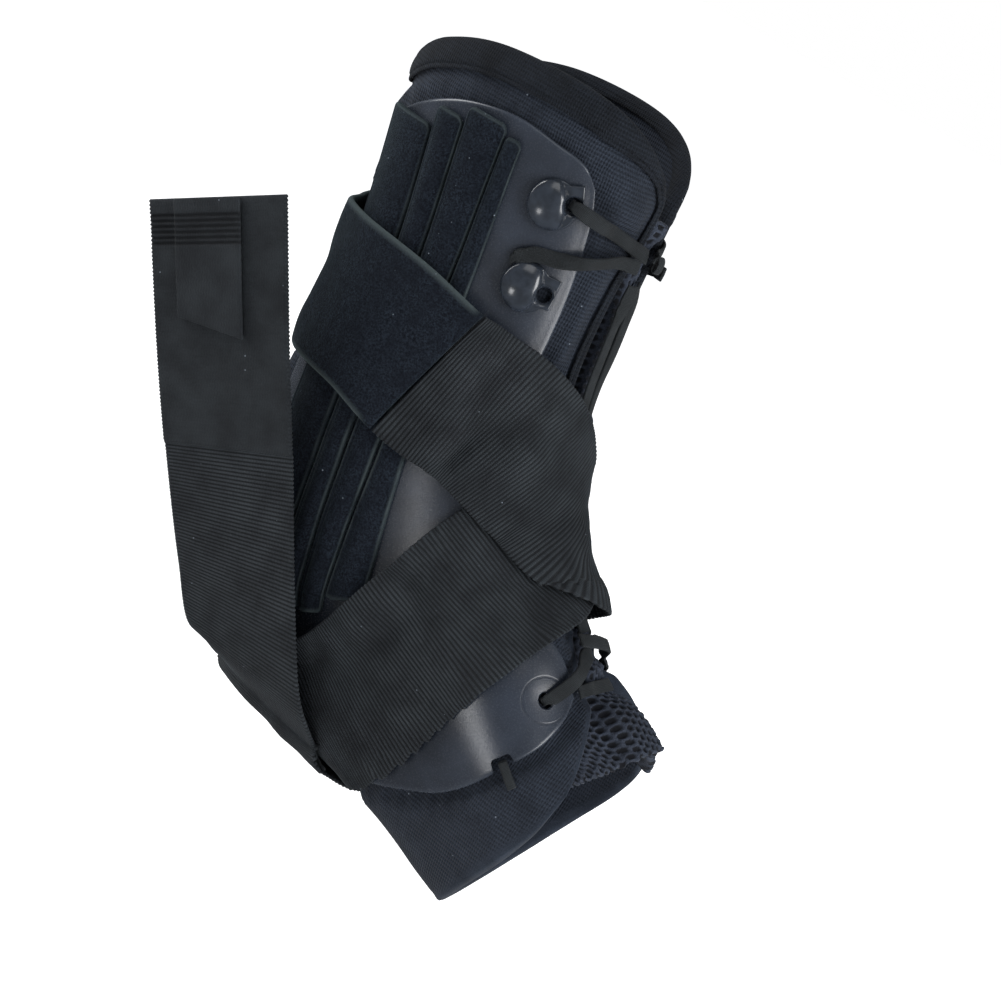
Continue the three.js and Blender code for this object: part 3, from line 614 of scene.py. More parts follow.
tape = Finish("binding_twill")
across, along = place_of(tape)
twill = (across * 0.8 + along).wave(0.9 * mm) * 0.5 + 0.5
pits_and_shade = (1 - boxed(tape, dimple_rows).smooth(0.1, 0.75)) * 0.6
tape_shade = mottled(tape, 0.4, (12, 15, 20), (26, 31, 39))
tape_shade = tape.mix(twill * 0.25, tape_shade, colour(9, 11, 15))
# painted shade in the dimples under the tape, which the bump also dents
tape_shade = tape.mix(pits_and_shade, tape_shade, colour(6, 8, 11))
seam_from_edge = 1.7 * mm
from_seam = (field(tape, "from_lower") - seam_from_edge).maths("ABSOLUTE")
stitch = (1 - from_seam.smooth(0.12 * mm, 0.34 * mm)) * along.wave(2.4 * mm).smooth(-0.5, 0.1)
tape_shade = tape.mix(stitch * 0.75, tape_shade, colour(58, 64, 72))
tape.set(Base_Color=tape.mix(specks(tape, 420, 0.02), tape_shade, lint), Roughness=0.85)
tape.set(Specular_IOR_Level=0.14, Sheen_Weight=0.02, Sheen_Roughness=0.4)
tape.bump(twill * 0.2 + fuzz(tape) * 0.4 + stitch * 0.6 - pits_and_shade, 0.35 * mm)

velvet = Finish("velvet_pile")
pile = velvet.noise(1500, 4, 0.75)
brushed = velvet.noise(160, 3, 0.6)
worn = field(velvet, "worn")
nap = velvet.mix(pile.smooth(0.35, 0.68), colour(9, 11, 16), colour(31, 37, 45))
nap = velvet.mix(brushed.smooth(0.35, 0.7) * 0.55, nap, colour(14, 17, 23))
# pale edges: partly rubbed pile, partly a painted sheen
nap = velvet.mix(worn * 0.55, nap, colour(74, 83, 84))
velvet.set(Base_Color=velvet.mix(specks(velvet, 460, 0.05), nap, lint), Roughness=1.0)
velvet.set(Specular_IOR_Level=0.05, Sheen_Weight=0.13, Sheen_Roughness=0.32, Sheen_Tint=colour(165, 190, 190))
velvet.bump(pile * 0.7 + brushed * 0.3, 0.5 * mm)

lace = Finish("lace_plait")
across, along = place_of(lace)
plait = ((across + along).wave(0.95 * mm) * (across - along).wave(0.95 * mm)) * 0.5 + 0.5
lace_shade = mottled(lace, 0.5, (18, 21, 23), (35, 39, 42))
lace_shade = lace.mix((1 - plait) * 0.5, lace_shade, colour(13, 15, 17))
lace.set(Base_Color=lace_shade, Roughness=0.8, Specular_IOR_Level=0.2)
lace.set(Sheen_Weight=0.03, Sheen_Roughness=0.4)
lace.bump(plait * 0.7 + fuzz(lace) * 0.3, 0.2 * mm)
print("ribs every", rib_pitch * 1000, "mm")

# %% [markdown]
# The plates are moulded plastic with a fine grain. Their rims are lighter, partly rubbed and partly a painted
# highlight, and a faint pressed ring, painted a little darker as shade in its groove, lies round the lower
# lace hole. The caps are the same colour but polished, so that a soft light leaves a clear spot on each.

# %% Plate and cap plastic
moulded = Finish("moulded_plate")
grain = moulded.noise(1700, 3, 0.7)
cloudy = moulded.noise(45, 4, 0.6)
rubbed = field(moulded, "rubbed")
plastic = moulded.mix(cloudy.smooth(0.3, 0.7), colour(30, 34, 41), colour(41, 46, 55))
# lighter rim: partly rubbed plastic, partly a painted highlight
plastic = moulded.mix(rubbed * 0.35, plastic, colour(58, 63, 71))
from_ring = (field(moulded, "from_eyelet") - 7.6 * mm).maths("ABSOLUTE")
pressed_and_shaded = 1 - from_ring.smooth(0.15 * mm, 0.6 * mm)
# painted shade in the pressed ring's groove
plastic = moulded.mix(pressed_and_shaded * 0.2, plastic, colour(26, 28, 33))
moulded.set(Base_Color=plastic, Roughness=grain * 0.22 + 0.15, Specular_IOR_Level=0.34)
moulded.bump(grain - pressed_and_shaded * 1.2, 0.035 * mm)

gloss = Finish("gloss_plastic")
faint = gloss.noise(300, 3, 0.6)
gloss.set(Base_Color=gloss.mix(faint.smooth(0.3, 0.7), colour(27, 31, 37), colour(37, 42, 50)))
gloss.set(Roughness=faint * 0.12 + 0.14, Specular_IOR_Level=0.5)
gloss.bump(faint, 0.02 * mm)

net = Finish("spacer_net")
strand = field(net, "strand")
net_yarn_and_shade = mottled(net, 0.6, (28, 32, 40), (53, 59, 71))
# painted shade in the net's holes, between the strands
net_yarn_and_shade = net.mix(1 - strand.smooth(0.2, 0.75), net_yarn_and_shade, colour(15, 17, 22))
net.set(Base_Color=net_yarn_and_shade, Roughness=0.85, Specular_IOR_Level=0.15, Sheen_Weight=0.03)
net.bump(fuzz(net), 0.25 * mm)
finishes = (air_mesh, webbing, tape, velvet, lace, moulded, gloss, net)
print("finishes:", [finish.material.name for finish in finishes])

# %% [markdown]
# The plates, stays and caps are laid down before any mesh is made, because each later layer asks how high
# they reach. First the outlines. The medial half of the brace is the lateral half, mirrored over the middle
# of the opening.

# %% Outlines of the sleeve and the plates
collar_edge = [(0.056, -19), (0.032, -40), (0.02, -62), (0.023, -101), (0.042, -130), (0.066, -158),
               (0.07, -180)]
front_edge = [(0.056, -19), (0.075, -11), (0.1, -11), (0.16, -17), (0.26, -21), (0.4, -14), (0.52, -4),
              (0.62, 0), (0.72, 2), (0.82, 0), (0.89, -12), (0.94, -23), (0.972, -33)]
toe_edge = [(0.972, -33), (0.993, -48), (1, -66), (1, -108), (1, -144), (1, -162)]


def mirrored(places):
    return [(t, float(medial(t, angle)[1]) - 360) for t, angle in places]


def wrapped(places):
    """The lateral half of an edge, then its mirror on the medial side."""
    return Line(places + mirrored(places[-2::-1]))


sleeve_edges = wrapped(collar_edge), wrapped(toe_edge), Line(front_edge), Line(mirrored(front_edge))

plate_edges = (
    Line([(0.086, -49), (0.072, -56), (0.067, -68), (0.063, -85), (0.07, -103), (0.082, -118),
          (0.118, -150)]),
    Line([(0.806, -12), (0.85, -22), (0.881, -35), (0.893, -50), (0.9, -68), (0.894, -84), (0.875, -100),
          (0.855, -114)]),
    Line([(0.086, -49), (0.113, -45), (0.175, -42), (0.24, -43), (0.38, -50), (0.5, -42), (0.65, -20),
          (0.738, -12), (0.806, -12)]),
    Line([(0.118, -150), (0.2, -149), (0.4, -142), (0.55, -126), (0.7, -112), (0.855, -114)]),
)
plate_notch, above_notch = (0.9, -51), (0.85, -51)
plate_eyelet, beyond_eyelet = (0.794, -27), (0.794, -17)

# top, low end, back_top, front_top, back_low, front_low
stays = [
    (0.105, 0.58, -145, -117, -118, -104.5),
    (0.086, 0.592, -116, -104, -103.5, -97),
    (0.073, 0.596, -103, -87, -96, -89.5),
    (0.08, 0.575, -86, -80, -88.5, -77),
]
caps = [((0.113, -62), (0.103, -52)), ((0.188, -60), (0.188, -50))]


def stay_edges(top, low, back_top, front_top, back_low, front_low):
    corners = (top, front_top), (top, back_top), (low, front_low), (low, back_low)
    return tuple(Line([corners[a], corners[b]]) for a, b in ((0, 1), (2, 3), (0, 2), (1, 3)))


def lay_within(edges, rows, columns, top, side):
    u, v = np.meshgrid(np.linspace(0, 1, columns + 1), np.linspace(0, 1, rows + 1))
    lay(*side(*place_within(edges, u, v)), top)


print("the collar is", round(sleeve_edges[0].length * 1000), "mm round, roughly")

# %% Lay down the binding, plates, stays and caps
sleeve_rows, sleeve_columns = 20, 36
binding_width, edge_binding_width = 8.8 * mm, 3.5 * mm
front_steps, corner_steps = 5, 4


def binding_stations(per_step):
    """Places from one front edge round the collar to the other, with the way in and the width."""
    down = np.linspace(front_steps, 0, front_steps * per_step + 1)[:-1] / sleeve_rows
    round_collar = np.linspace(0, 1, sleeve_columns * per_step + 1)
    u = np.concatenate([0 * down, round_collar, 0 * down + 1])
    v = np.concatenate([down, 0 * round_collar, down[::-1]])
    from_front = np.minimum(u, 1 - u) * sleeve_columns
    width = edge_binding_width + (binding_width - edge_binding_width) * smooth(from_front, 0, corner_steps)
    t, angle = place_within(sleeve_edges, u, v)
    points = surface(t, angle)
    tangent = unit(np.gradient(points, axis=0))
    return t, angle, np.cross(slopes(t, angle)[2], tangent), width


t, angle, inward, width = binding_stations(4)
for distance in (0 * width - clearance - binding_wall, width / 2, width):
    lay(*walk(t, angle, inward, distance), binding_top)

cap_radius, cap_base, tab_half_width = 8.2 * mm, 1.2 * mm, 4.6 * mm
hole_radius, hole_reach, hole_edge = 2.6 * mm, 6.4 * mm, 3.4 * mm
cap_seat = plate_top + clearance


def seat_at(place, towards, height):
    """The frame of a thing on the surface: its origin, X towards a second place, Y, and Z outward."""
    normal = slopes(*place)[2]
    origin = raised(*place, height)
    x = raised(*towards, height) - origin
    x = unit(x - normal * dot(x, normal))
    return origin, x, np.cross(normal, x), normal


for _, side in sides:
    lay_within(plate_edges, 44, 15, plate_top, side)
    for stay in stays:
        lay_within(stay_edges(*stay), 24, 2, stay_base + stay_wall, side)
    for middle, towards in caps:
        origin, x, y, z = seat_at(side(*middle), side(*towards), cap_seat)
        for reach in (cap_radius / 2, hole_reach, hole_reach + hole_edge):
            place = walk(*(np.array(float(k)) for k in side(*middle)), x, reach)
            offs = (-tab_half_width, 0, tab_half_width)
            under = [np.array(k) for k in zip(*(walk(*place, y, off) for off in offs))]
            normal = slopes(*under)[2]
            below = dot(surface(*under) - origin, z)
            lay(*under, (cap_base - below) / dot(normal, z))
print("samples laid:", sum(len(points) for points in laid["points"]))

# %% [markdown]
# The laces go on next. Each is a flat tape over a line of a few places, from a lace hole to the knot or
# across the toe end. Their heights are worked out in coarse rows here, in the order in which they lie on
# each other.

# %% Lay down the laces
lace_width, lace_wall, lace_step = 6.2 * mm, 1 * mm, 6.5 * mm
lace_places = {
    "lace_long_1": [(0.15, -1), (0.175, 5), (0.21, 6), (0.28, 3), (0.36, 4), (0.46, 10), (0.56, 18),
                    (0.66, 24)],
    "lace_long_2": [(0.15, -11), (0.2, -10), (0.26, -11), (0.36, -10), (0.46, -4), (0.56, 4), (0.65, 8)],
    "lace_upper_lateral": [(0.1075, -50.5), (0.111, -40), (0.116, -25), (0.122, -10.5)],
    "lace_upper_medial": [(0.1075, 51.5), (0.111, 40), (0.116, 17), (0.122, -5)],
    "lace_second_lateral": [(0.167, -67), (0.158, -61), (0.154, -52), (0.143, -40), (0.134, -28),
                            (0.132, -18)],
    "lace_second_medial": [(0.167, 71), (0.158, 65), (0.154, 56), (0.143, 40), (0.134, 20), (0.132, 2)],
    "lace_lower_bar": [(0.795, -10), (0.796, 6), (0.801, 23)],
    "lace_lower_1": [(0.792, -24.5), (0.763, -12), (0.706, 3), (0.682, 12)],
    "lace_lower_2": [(0.668, -7), (0.682, 6), (0.713, 25), (0.76, 43), (0.79, 58)],
}
lace_lines = {name: Line(places) for name, places in lace_places.items()}
lace_heights = {
    name: ribbon(name, line, (0, 1), lace_width, 1, lace_step, clearance, lace_wall, narrow_reach)
    for name, line in lace_lines.items()
}
knot_place, beside_knot = (0.124, -8), (0.124, 2)
knot_base = float(reached(*(np.array(float(k)) for k in knot_place), *knot_reach)) + clearance
print("the knot lies", round(knot_base * 1000, 1), "mm over the sleeve")

# %% [markdown]
# Two wide straps tighten the brace. The first starts on the instep, goes under the sole and up the medial
# side, crosses the front and ends in velvet at the back of the shaft. The second starts on the medial side,
# goes under the sole the other way and is held up, so its free end rises beside the shaft.

# %% Lay down the straps
strap_width, webbing_wall, pile_wall = 51 * mm, 1.5 * mm, 2.2 * mm
strap_columns, strap_step = 6, 7 * mm
strap_1 = Line([(0.45, -18), (0.519, -39), (0.631, -60), (0.738, -93), (0.778, -137), (0.765, -180),
                (0.705, -222), (0.62, -252), (0.54, -282), (0.49, -318), (0.455, -357), (0.381, -382),
                (0.325, -411), (0.3, -439), (0.276, -464), (0.262, -502), (0.252, -540), (0.246, -582),
                (0.242, -606)])
strap_2 = Line([(0.715, 80), (0.745, 105), (0.782, 138), (0.795, 165), (0.788, 197), (0.75, 222),
                (0.71, 236)])
seam_share = 0.765
half_seam = clearance / 2 / strap_1.length
web_shares, pile_shares = (0, seam_share - half_seam), (seam_share + half_seam, 1)
start_slant = (-60 * mm / strap_width, 45 * mm)


def strap_heights(piece, line, shares, thick, first_row=0, slant=(0, 1), reach=wide_reach):
    return ribbon(piece, line, shares, strap_width, strap_columns, strap_step, strap_clearance, thick, reach,
                  first_row, slant)


web_heights = strap_heights("strap_1", strap_1, web_shares, webbing_wall)
pile_heights = strap_heights("strap_1", strap_1, pile_shares, pile_wall, len(web_heights), reach=tight_reach)
strap_2_heights = strap_heights("strap_2", strap_2, (0, 1), webbing_wall, 0, start_slant)
strap_1_top = max(web_heights.max(), pile_heights.max())
print("strap 1 reaches up to", round(strap_1_top * 1000, 1), "mm over the sleeve")

# %% [markdown]
# The sleeve's padding swells wherever nothing presses on it. So its outer face rises between the collar
# binding and the sunken plate, and stays flat under plates, straps and laces. The swelling grows with the
# distance from what is laid down, and a little slow noise makes the cloth uneven. A hem runs along its free
# edges, without dimples.

# %% Sleeve
def kd_tree(points):
    tree = KDTree(len(points))
    for i, point in enumerate(points):
        tree.insert(Vector(point), i)
    tree.balance()
    return tree


hard_names = ("", "strap_1", "strap_2")
pressed_points = np.concatenate([
    points for points, pieces in zip(laid["points"], laid["pieces"]) if pieces[0] in hard_names
])
under_laces = [
    surface(*line.place(np.linspace(0, 1, round(line.length / (1.5 * mm))))) for line in lace_lines.values()
]
pressed_tree = kd_tree(np.concatenate([pressed_points, *under_laces]))
puff_height = 2.8 * mm


def noise_over(points, size):
    """Slow, even noise at points, from about -1 to 1, for lumps of a size."""
    flat = points.reshape(-1, 3)
    values = [bpy_noise.noise(Vector(point) / size) for point in flat]
    return np.array(values).reshape(points.shape[:-1])


def swelling(t, angle):
    """How far the sleeve swells at places, away from what presses on it."""
    points = surface(t, angle)
    flat = points.reshape(-1, 3)
    near = np.array([pressed_tree.find(Vector(point))[2] for point in flat]).reshape(points.shape[:-1])
    free = smooth(near, 1.4 * mm, 7.5 * mm)
    return free * (puff_height + noise_over(points, 14 * mm) * 0.5 * mm)


def border(grid):
    """Metres across and along a grid of points, and the distance from its border."""
    across, along = lengths_over(grid, 1), lengths_over(grid, 0)
    side = np.minimum(across, across[:, -1:] - across)
    end = np.minimum(along, along[-1:] - along)
    return across, along, side, end


sleeve_size = (330 * mm, 240 * mm)
sleeve_rim = 1.5 * mm
hem = 3.2 * mm
u, v = np.meshgrid(lines_over(sleeve_size[0], sleeve_rim, 1.7 * mm),
                   lines_over(sleeve_size[1], sleeve_rim, 1.9 * mm))
t, angle = place_within(sleeve_edges, u, v)
across, along, side_distance, end_distance = border(surface(t, angle))
across = across - across[:, [across.shape[1] // 2]]
edge_distance = np.minimum(side_distance, end_distance)
full = rounding(edge_distance, sleeve_rim)
groove = np.exp(-((edge_distance - hem) / (0.5 * mm)) ** 2)
outer_height = swelling(t, angle) - groove * 0.5 * mm
middle_height = -sleeve_wall / 2
outer = raised(t, angle, middle_height + (outer_height - middle_height) * full)
inner = raised(t, angle, middle_height + (-sleeve_wall - middle_height) * full)
sleeve = wall("sleeve_air_mesh", outer, inner, across, along, mesh=smooth(edge_distance, hem, hem + 0.6 * mm))
dress(sleeve, air_mesh, "mesh_cloth", "sleeve")

# %% [markdown]
# The tongue is an open spacer net: hexagonal holes between raised strands. Here the holes are real dents in
# a fine grid, finer at the toe end, where the net is seen and ends in a cut, ragged edge. The strands come
# from three cosines that are turned by 120 degrees, which is the simplest way to a honeycomb. The tongue
# lies under the sleeve at its sides, rises in a ridge to the front opening, has folds along its length and
# flares at the toe end.

# %% Tongue
tongue_top_end = 0.09
tongue_toe_end = (0.965, 1.0)
tongue_half_angle = (30, 46)
tongue_ridge_edge = 11
tongue_top = -(sleeve_wall + binding_wall + 2 * clearance)
tongue_ridge_top = -0.2 * mm
net_pitch = 2.9 * mm
net_depth = 1.3 * mm
tongue_width = 76 * mm
ragged_share = 0.008
toe_flare = 3.4 * mm
# how far round the flare reaches at each t
flare_t, flare_angle = [0.82, 0.89, 0.94, 0.98], [15, 26, 36, 42]
fold_rise, fold_degrees = 0.45 * mm, 6.5


def honeycomb(across, along, pitch):
    """1 on the strands between hexagonal holes and 0 in the middle of each hole."""
    wave = 2 * math.pi / (pitch * math.cos(math.pi / 6))
    half, tall = across * 0.5, along * math.cos(math.pi / 6)
    total = np.cos(across * wave) + np.cos((half + tall) * wave) + np.cos((half - tall) * wave)
    return 1 - smooth(total, -1.2, 0.7)


u = lines_over(tongue_width, 1.2 * mm, 0.68 * mm)
covered_rows, shown_rows = 180, 200
covered, shown = np.linspace(0, 0.5, covered_rows)[:-1], np.linspace(0.5, 1, shown_rows)
v = np.concatenate([[0, 0.001, 0.003], covered[1:], shown])
u, v = np.meshgrid(u, v)
toe_end = tongue_toe_end[0] + (tongue_toe_end[1] - tongue_toe_end[0]) * u
ragged = np.abs(((u * tongue_width / net_pitch) % 1) - 0.5) * 2
toe_end = toe_end - ragged_share * ragged * smooth(v, 0.9, 1)
t = tongue_top_end + (toe_end - tongue_top_end) * v
half = tongue_half_angle[0] + (tongue_half_angle[1] - tongue_half_angle[0]) * v
off = half * (2 * u - 1)
ridge_top_half, ridge_widening, ridge_edge_widening = 2, 5, 4
wider = smooth(t, 0.12, 0.2)
ridge = 1 - smooth(np.abs(off), ridge_top_half + ridge_widening * wider,
                   tongue_ridge_edge + ridge_edge_widening * wider)
angle = opening_middle(t) + off
across_flare = np.clip(off / np.interp(t, flare_t, flare_angle), -1, 1)
flare = smooth(t, 0.815, 0.9) * np.cos(across_flare * math.pi / 2) ** 2
swollen = swelling(t, opening_middle(t)) * 0.85
across, along, side_distance, end_distance = border(surface(t, angle))
across = across - across[:, [across.shape[1] // 2]]
strand = honeycomb(across, along, net_pitch)
full = rounding(np.minimum(side_distance, end_distance), 1.2 * mm)
top = tongue_top + (tongue_ridge_top + swollen - tongue_top) * ridge + toe_flare * flare
top = top + fold_rise * np.cos(2 * math.pi * off / fold_degrees) * (1 - smooth(t, 0.4, 0.5)) * (1 - ridge)
lower = top - tongue_wall
middle = (top + lower) / 2
top_height = middle + (top - middle) * full - (1 - strand) * net_depth * full
tongue = wall("tongue_net", raised(t, angle, top_height), raised(t, angle, middle + (lower - middle) * full),
              across, along, strand=strand)
dress(tongue, net, "mesh_cloth", "tongue")

# %% [markdown]
# The collar is bound with a tape that folds over the sleeve's edge: wide outside, narrow inside and down
# the front edges. Its section is one bent path with a thickness, swept along the edge, so the fold is
# round. A row of short stitches holds it a little above its lower edge.

# %% Collar binding
fold_middle, fold_radius = 1.2 * mm, (sleeve_wall + binding_wall) / 2 + clearance
fold_height = -sleeve_wall / 2
tape_padding = 0.7 * mm


def fold_path(width):
    """Distance in from the edge and height, from the tape's outer edge over the fold to its inner edge."""
    turn = np.linspace(0, math.pi, 14)
    fold_in = fold_middle - fold_radius * np.sin(turn)
    share = np.concatenate([[0, 0.02, 0.06], np.linspace(0.1, 1, 17)[:-1]])
    outside = width + (fold_middle - width) * share
    inside = np.linspace(fold_middle, edge_binding_width, 5)[1:]
    padded = tape_padding * np.sin(math.pi * share) ** 0.8 * smooth(width, edge_binding_width, binding_width)
    crease = 0.45 * mm * np.exp(-((width - outside - seam_from_edge) / (0.45 * mm)) ** 2)
    distance = np.concatenate([outside, fold_in, inside])
    raised_by = np.concatenate([padded - crease, 0 * fold_in, 0 * inside])
    height = np.concatenate([0 * outside + fold_radius, fold_radius * np.cos(turn), 0 * inside - fold_radius])
    return distance, fold_height + height + raised_by


def with_ends(grid):
    """Rows for the two rings that close each end."""
    return np.concatenate([grid[:1], grid[:1], grid, grid[-1:], grid[-1:]])


def swept(name, sections, across, along, **fields):
    """A closed solid through equal rings of points, capped at both ends by rings drawn in to their middle."""
    first, last = (ring.mean(1, keepdims=True) for ring in (sections[:1], sections[-1:]))
    ends = [first + (sections[:1] - first) * k for k in (0.02, 0.6)]
    tails = [last + (sections[-1:] - last) * k for k in (0.6, 0.02)]
    rings = np.concatenate([*ends, sections, *tails])
    count, size = rings.shape[:2]
    number = np.arange(count * size).reshape(count, size)
    following = np.roll(number, -1, axis=1)
    quads = np.stack([number[:-1], following[:-1], following[1:], number[1:]], -1).reshape(-1, 4)
    shape = (count, size)
    named = {key: with_ends(np.broadcast_to(value, (count - 4, size))) for key, value in fields.items()}
    flat = [np.broadcast_to(with_ends(grid), shape) for grid in (across, along)]
    made = new_mesh(name, rings.reshape(-1, 3), quads, *flat, named)
    edit = bmesh.new()
    edit.from_mesh(made.data)
    edit.verts.ensure_lookup_table()
    for ring in (number[0], number[-1]):
        bmesh.ops.contextual_create(edit, geom=[edit.verts[int(k)] for k in ring])
    bmesh.ops.recalc_face_normals(edit, faces=edit.faces)
    edit.to_mesh(made.data)
    edit.free()
    return made


t, angle, inward, width = binding_stations(6)
kernel = np.ones(7) / 7
eased = [np.convolve(np.pad(inward[:, k], 3, mode="edge"), kernel, "valid") for k in range(3)]
inward = unit(np.stack(eased, -1))
rings, tape_across, from_lower = [], [], []
half_tape = binding_wall / 2
for k in range(len(t)):
    distance, height = fold_path(width[k])
    slope = unit(np.stack([np.gradient(distance), np.gradient(height)], -1))
    normal = np.stack([-slope[:, 1], slope[:, 0]], -1) * half_tape
    path = np.stack([distance, height], -1)
    reach = lengths_over(path, 0)
    ends = rounding(np.minimum(reach, reach[-1] - reach), 0.5 * mm)
    outer_side, inner_side = path + normal * ends[:, None], path - normal * ends[:, None]
    section = np.concatenate([outer_side, inner_side[-2:0:-1]])
    ones = np.ones(len(section))
    place = walk(t[k] * ones, angle[k] * ones, inward[k] * ones[:, None], section[:, 0])
    rings.append(raised(*place, section[:, 1]))
    tape_across.append(np.concatenate([distance, distance[-2:0:-1]]))
    from_lower.append(np.concatenate([reach, 0 * reach[-2:0:-1]]))
rings = np.array(rings)
on_fold = 20
round_edge = np.broadcast_to(lengths_over(rings[:, on_fold], 0)[:, None], rings.shape[:2])
binding = swept("collar_binding", rings, np.array(tape_across), round_edge, from_lower=np.array(from_lower))
dress(binding, tape, "binding_tape", "edge_binding")

# %% [markdown]
# A moulded plate lies on each side. It is a thin shell with a rounded rim. Its lace holes are cut with tools
# that widen towards the face, so that each hole has a small bevel; the notch in its lower edge is cut
# straight.

# %% Plates
plate_size = (70 * mm, 190 * mm)


def shell(name, edges, size, rim, step, low, high, side, corner=0, **fields):
    """A closed wall inside four edges, from one height to another."""
    u, v = np.meshgrid(lines_over(size[0], rim, step[0]), lines_over(size[1], rim, step[1]))
    if corner:
        short = np.clip(corner - np.minimum(u, 1 - u) * size[0], 0, corner)
        inset = (corner - np.sqrt(corner ** 2 - short ** 2)) / size[1]
        v = inset + v * (1 - 2 * inset)
    t, angle = side(*place_within(edges, u, v))
    across, along, side_distance, end_distance = border(surface(t, angle))
    edge = np.minimum(side_distance, end_distance)
    full = rounding(edge, rim)
    below, above = low(u, v, edge), high(u, v, edge)
    middle = (below + above) / 2
    outer = raised(t, angle, middle + (above - middle) * full)
    inner = raised(t, angle, middle + (below - middle) * full)
    named = {key: made(t, angle, edge) for key, made in fields.items()}
    return wall(name, outer, inner, across, along, **named)


def tool(rings):
    """A closed knife through rings of points."""
    zero = np.zeros(rings.shape[:2])
    return swept("tool", rings, zero, zero)


def lathe(origin, x, y, z, radii, heights):
    """A turned knife on a seat."""
    around = np.linspace(0, 2 * math.pi, 40, endpoint=False)
    ring = np.cos(around)[:, None] * x + np.sin(around)[:, None] * y
    return tool(np.array([origin + ring * radius + z * height for radius, height in zip(radii, heights)]))


def cut(piece, tools):
    """Cuts tools out of a piece and takes them away."""
    for tool in tools:
        knife = piece.modifiers.new("cut", "BOOLEAN")
        knife.operation, knife.solver, knife.object = "DIFFERENCE", "EXACT", tool
    graph = bpy.context.evaluated_depsgraph_get()
    made = bpy.data.meshes.new_from_object(piece.evaluated_get(graph))
    piece.modifiers.clear()
    piece.data = made
    made.name = piece.name
    for tool in tools:
        bpy.data.objects.remove(tool)
    made.set_sharp_from_angle(angle=math.radians(38))


knife_depth, hole_bevel = 8 * mm, 0.45 * mm


def hole_tool(place, towards):
    radii = [hole_radius, hole_radius, hole_radius + hole_bevel, hole_radius + hole_bevel * 2]
    return lathe(*seat_at(place, towards, plate_top), radii, [-knife_depth, -hole_bevel, 0, 3 * mm])


def notch_tool(side):
    """A slot with a round end that runs out over the plate's lower edge."""
    origin, x, y, z = seat_at(side(*plate_notch), side(*above_notch), 0)
    half, depth, corner = 3.5 * mm, 5 * mm, 1.4 * mm
    turn = np.linspace(0, math.pi / 2, 7)
    round_x = depth - corner + corner * np.sin(turn)
    round_y = half - corner + corner * np.cos(turn)
    outline_x = np.concatenate([[-2 * depth], round_x, round_x[::-1], [-2 * depth]])
    outline_y = np.concatenate([[half + 1.5 * mm], round_y, -round_y[::-1], [-half - 1.5 * mm]])
    ring = outline_x[:, None] * x + outline_y[:, None] * y
    return tool(np.array([origin + ring + z * height for height in (-knife_depth, knife_depth)]))


def cap_hole(middle, towards, side):
    middle = [np.array(float(k)) for k in side(*middle)]
    heading = unit(surface(*side(*towards)) - surface(*middle))
    return walk(*middle, heading, hole_reach)


def plate_rubbed(t, angle, edge):
    # lighter rim: partly rubbed, partly a painted highlight
    return 1 - smooth(edge, 0.5 * mm, 1.5 * mm)


def plate_face(u, v, edge):
    """The plate's outer face, with a low lip inside its rim."""
    return plate_top + 0.14 * mm * (1 - smooth(edge, 1.2 * mm, 2.6 * mm)) - 0.1 * mm


for prefix, side in sides:
    eyelet = surface(*side(*plate_eyelet))

    def from_eyelet(t, angle, edge):
        return np.linalg.norm(surface(t, angle) - eyelet, axis=-1)

    plate = shell(f"{prefix}_plate_shell", plate_edges, plate_size, 0.9 * mm, (1.4 * mm, 1.4 * mm),
                  lambda u, v, edge: plate_base + 0 * u, plate_face, side,
                  rubbed=plate_rubbed, from_eyelet=from_eyelet)
    holes = [(cap_hole(*cap, side), side(*cap[1])) for cap in caps]
    holes.append((side(*plate_eyelet), side(*beyond_eyelet)))
    cut(plate, [hole_tool(*hole) for hole in holes] + [notch_tool(side)])
    dress(plate, moulded, "plate_sheet", f"{prefix}_plate")

# %% [markdown]
# Four velvet stays lie on each plate, side by side. Each is a crowned strip with round corners, and its
# edges are pale, partly worn where the pile has rubbed off and partly a painted sheen, which is what sets
# the strips apart from each other in the picture.

# %% Stays
stay_crown = 0.6
stay_sizes = [(18 * mm, 150 * mm), (8.5 * mm, 150 * mm), (11.5 * mm, 150 * mm), (6.5 * mm, 145 * mm)]


def stay_worn(t, angle, edge):
    # pale edges: partly rubbed pile, partly a painted sheen
    along_edge = np.exp(-((edge - 0.5 * mm) / (0.42 * mm)) ** 2)
    return along_edge * (0.55 + 0.6 * noise_over(surface(t, angle), 9 * mm))


def stay_face(u, v, edge):
    """The stay's crowned face, with a seam inside its rim."""
    crown = stay_crown + (1 - stay_crown) * np.sin(math.pi * u)
    seam = np.exp(-((edge - 1.7 * mm) / (0.35 * mm)) ** 2)
    return stay_base + stay_wall * crown - 0.35 * mm * seam


for prefix, side in sides:
    for number, (stay, size) in enumerate(zip(stays, stay_sizes), 1):
        strip = shell(f"{prefix}_stay_velvet_{number}", stay_edges(*stay), size, 0.9 * mm,
                      (0.5 * mm, 1.5 * mm), lambda u, v, edge: stay_base + 0 * u, stay_face, side,
                      corner=1.8 * mm, worn=stay_worn)
        dress(strip, velvet, "velvet", f"{prefix}_stay_{number}")

# %% [markdown]
# A lace cap is a polished dome on a round base, with a flat square-cornered tab beside it for the lace
# hole. The tab reaches further up than down, so its upper edge runs on from the top of the dome. Base, tab
# and dome are one surface, drawn in rings round the middle of the cap, so that the light runs over it
# unbroken.

# %% Lace caps
dome_radius, dome_height, dome_back = 8.0 * mm, 3.0 * mm, 0.5 * mm
tab_up, tab_down = 6.3 * mm, 4.0 * mm


def cap_outline(turn, up):
    """The reach of the cap's outline: a circle, or the square tab where that reaches further."""
    c, s = np.cos(turn), np.sin(turn) * up
    side_reach = np.where(s > 0, tab_up, tab_down) / np.maximum(np.abs(s), 1e-6)
    tab = np.minimum((hole_reach + hole_edge) / np.maximum(c, 1e-6), side_reach)
    return np.where(c > 0, np.maximum(cap_radius, tab), cap_radius)


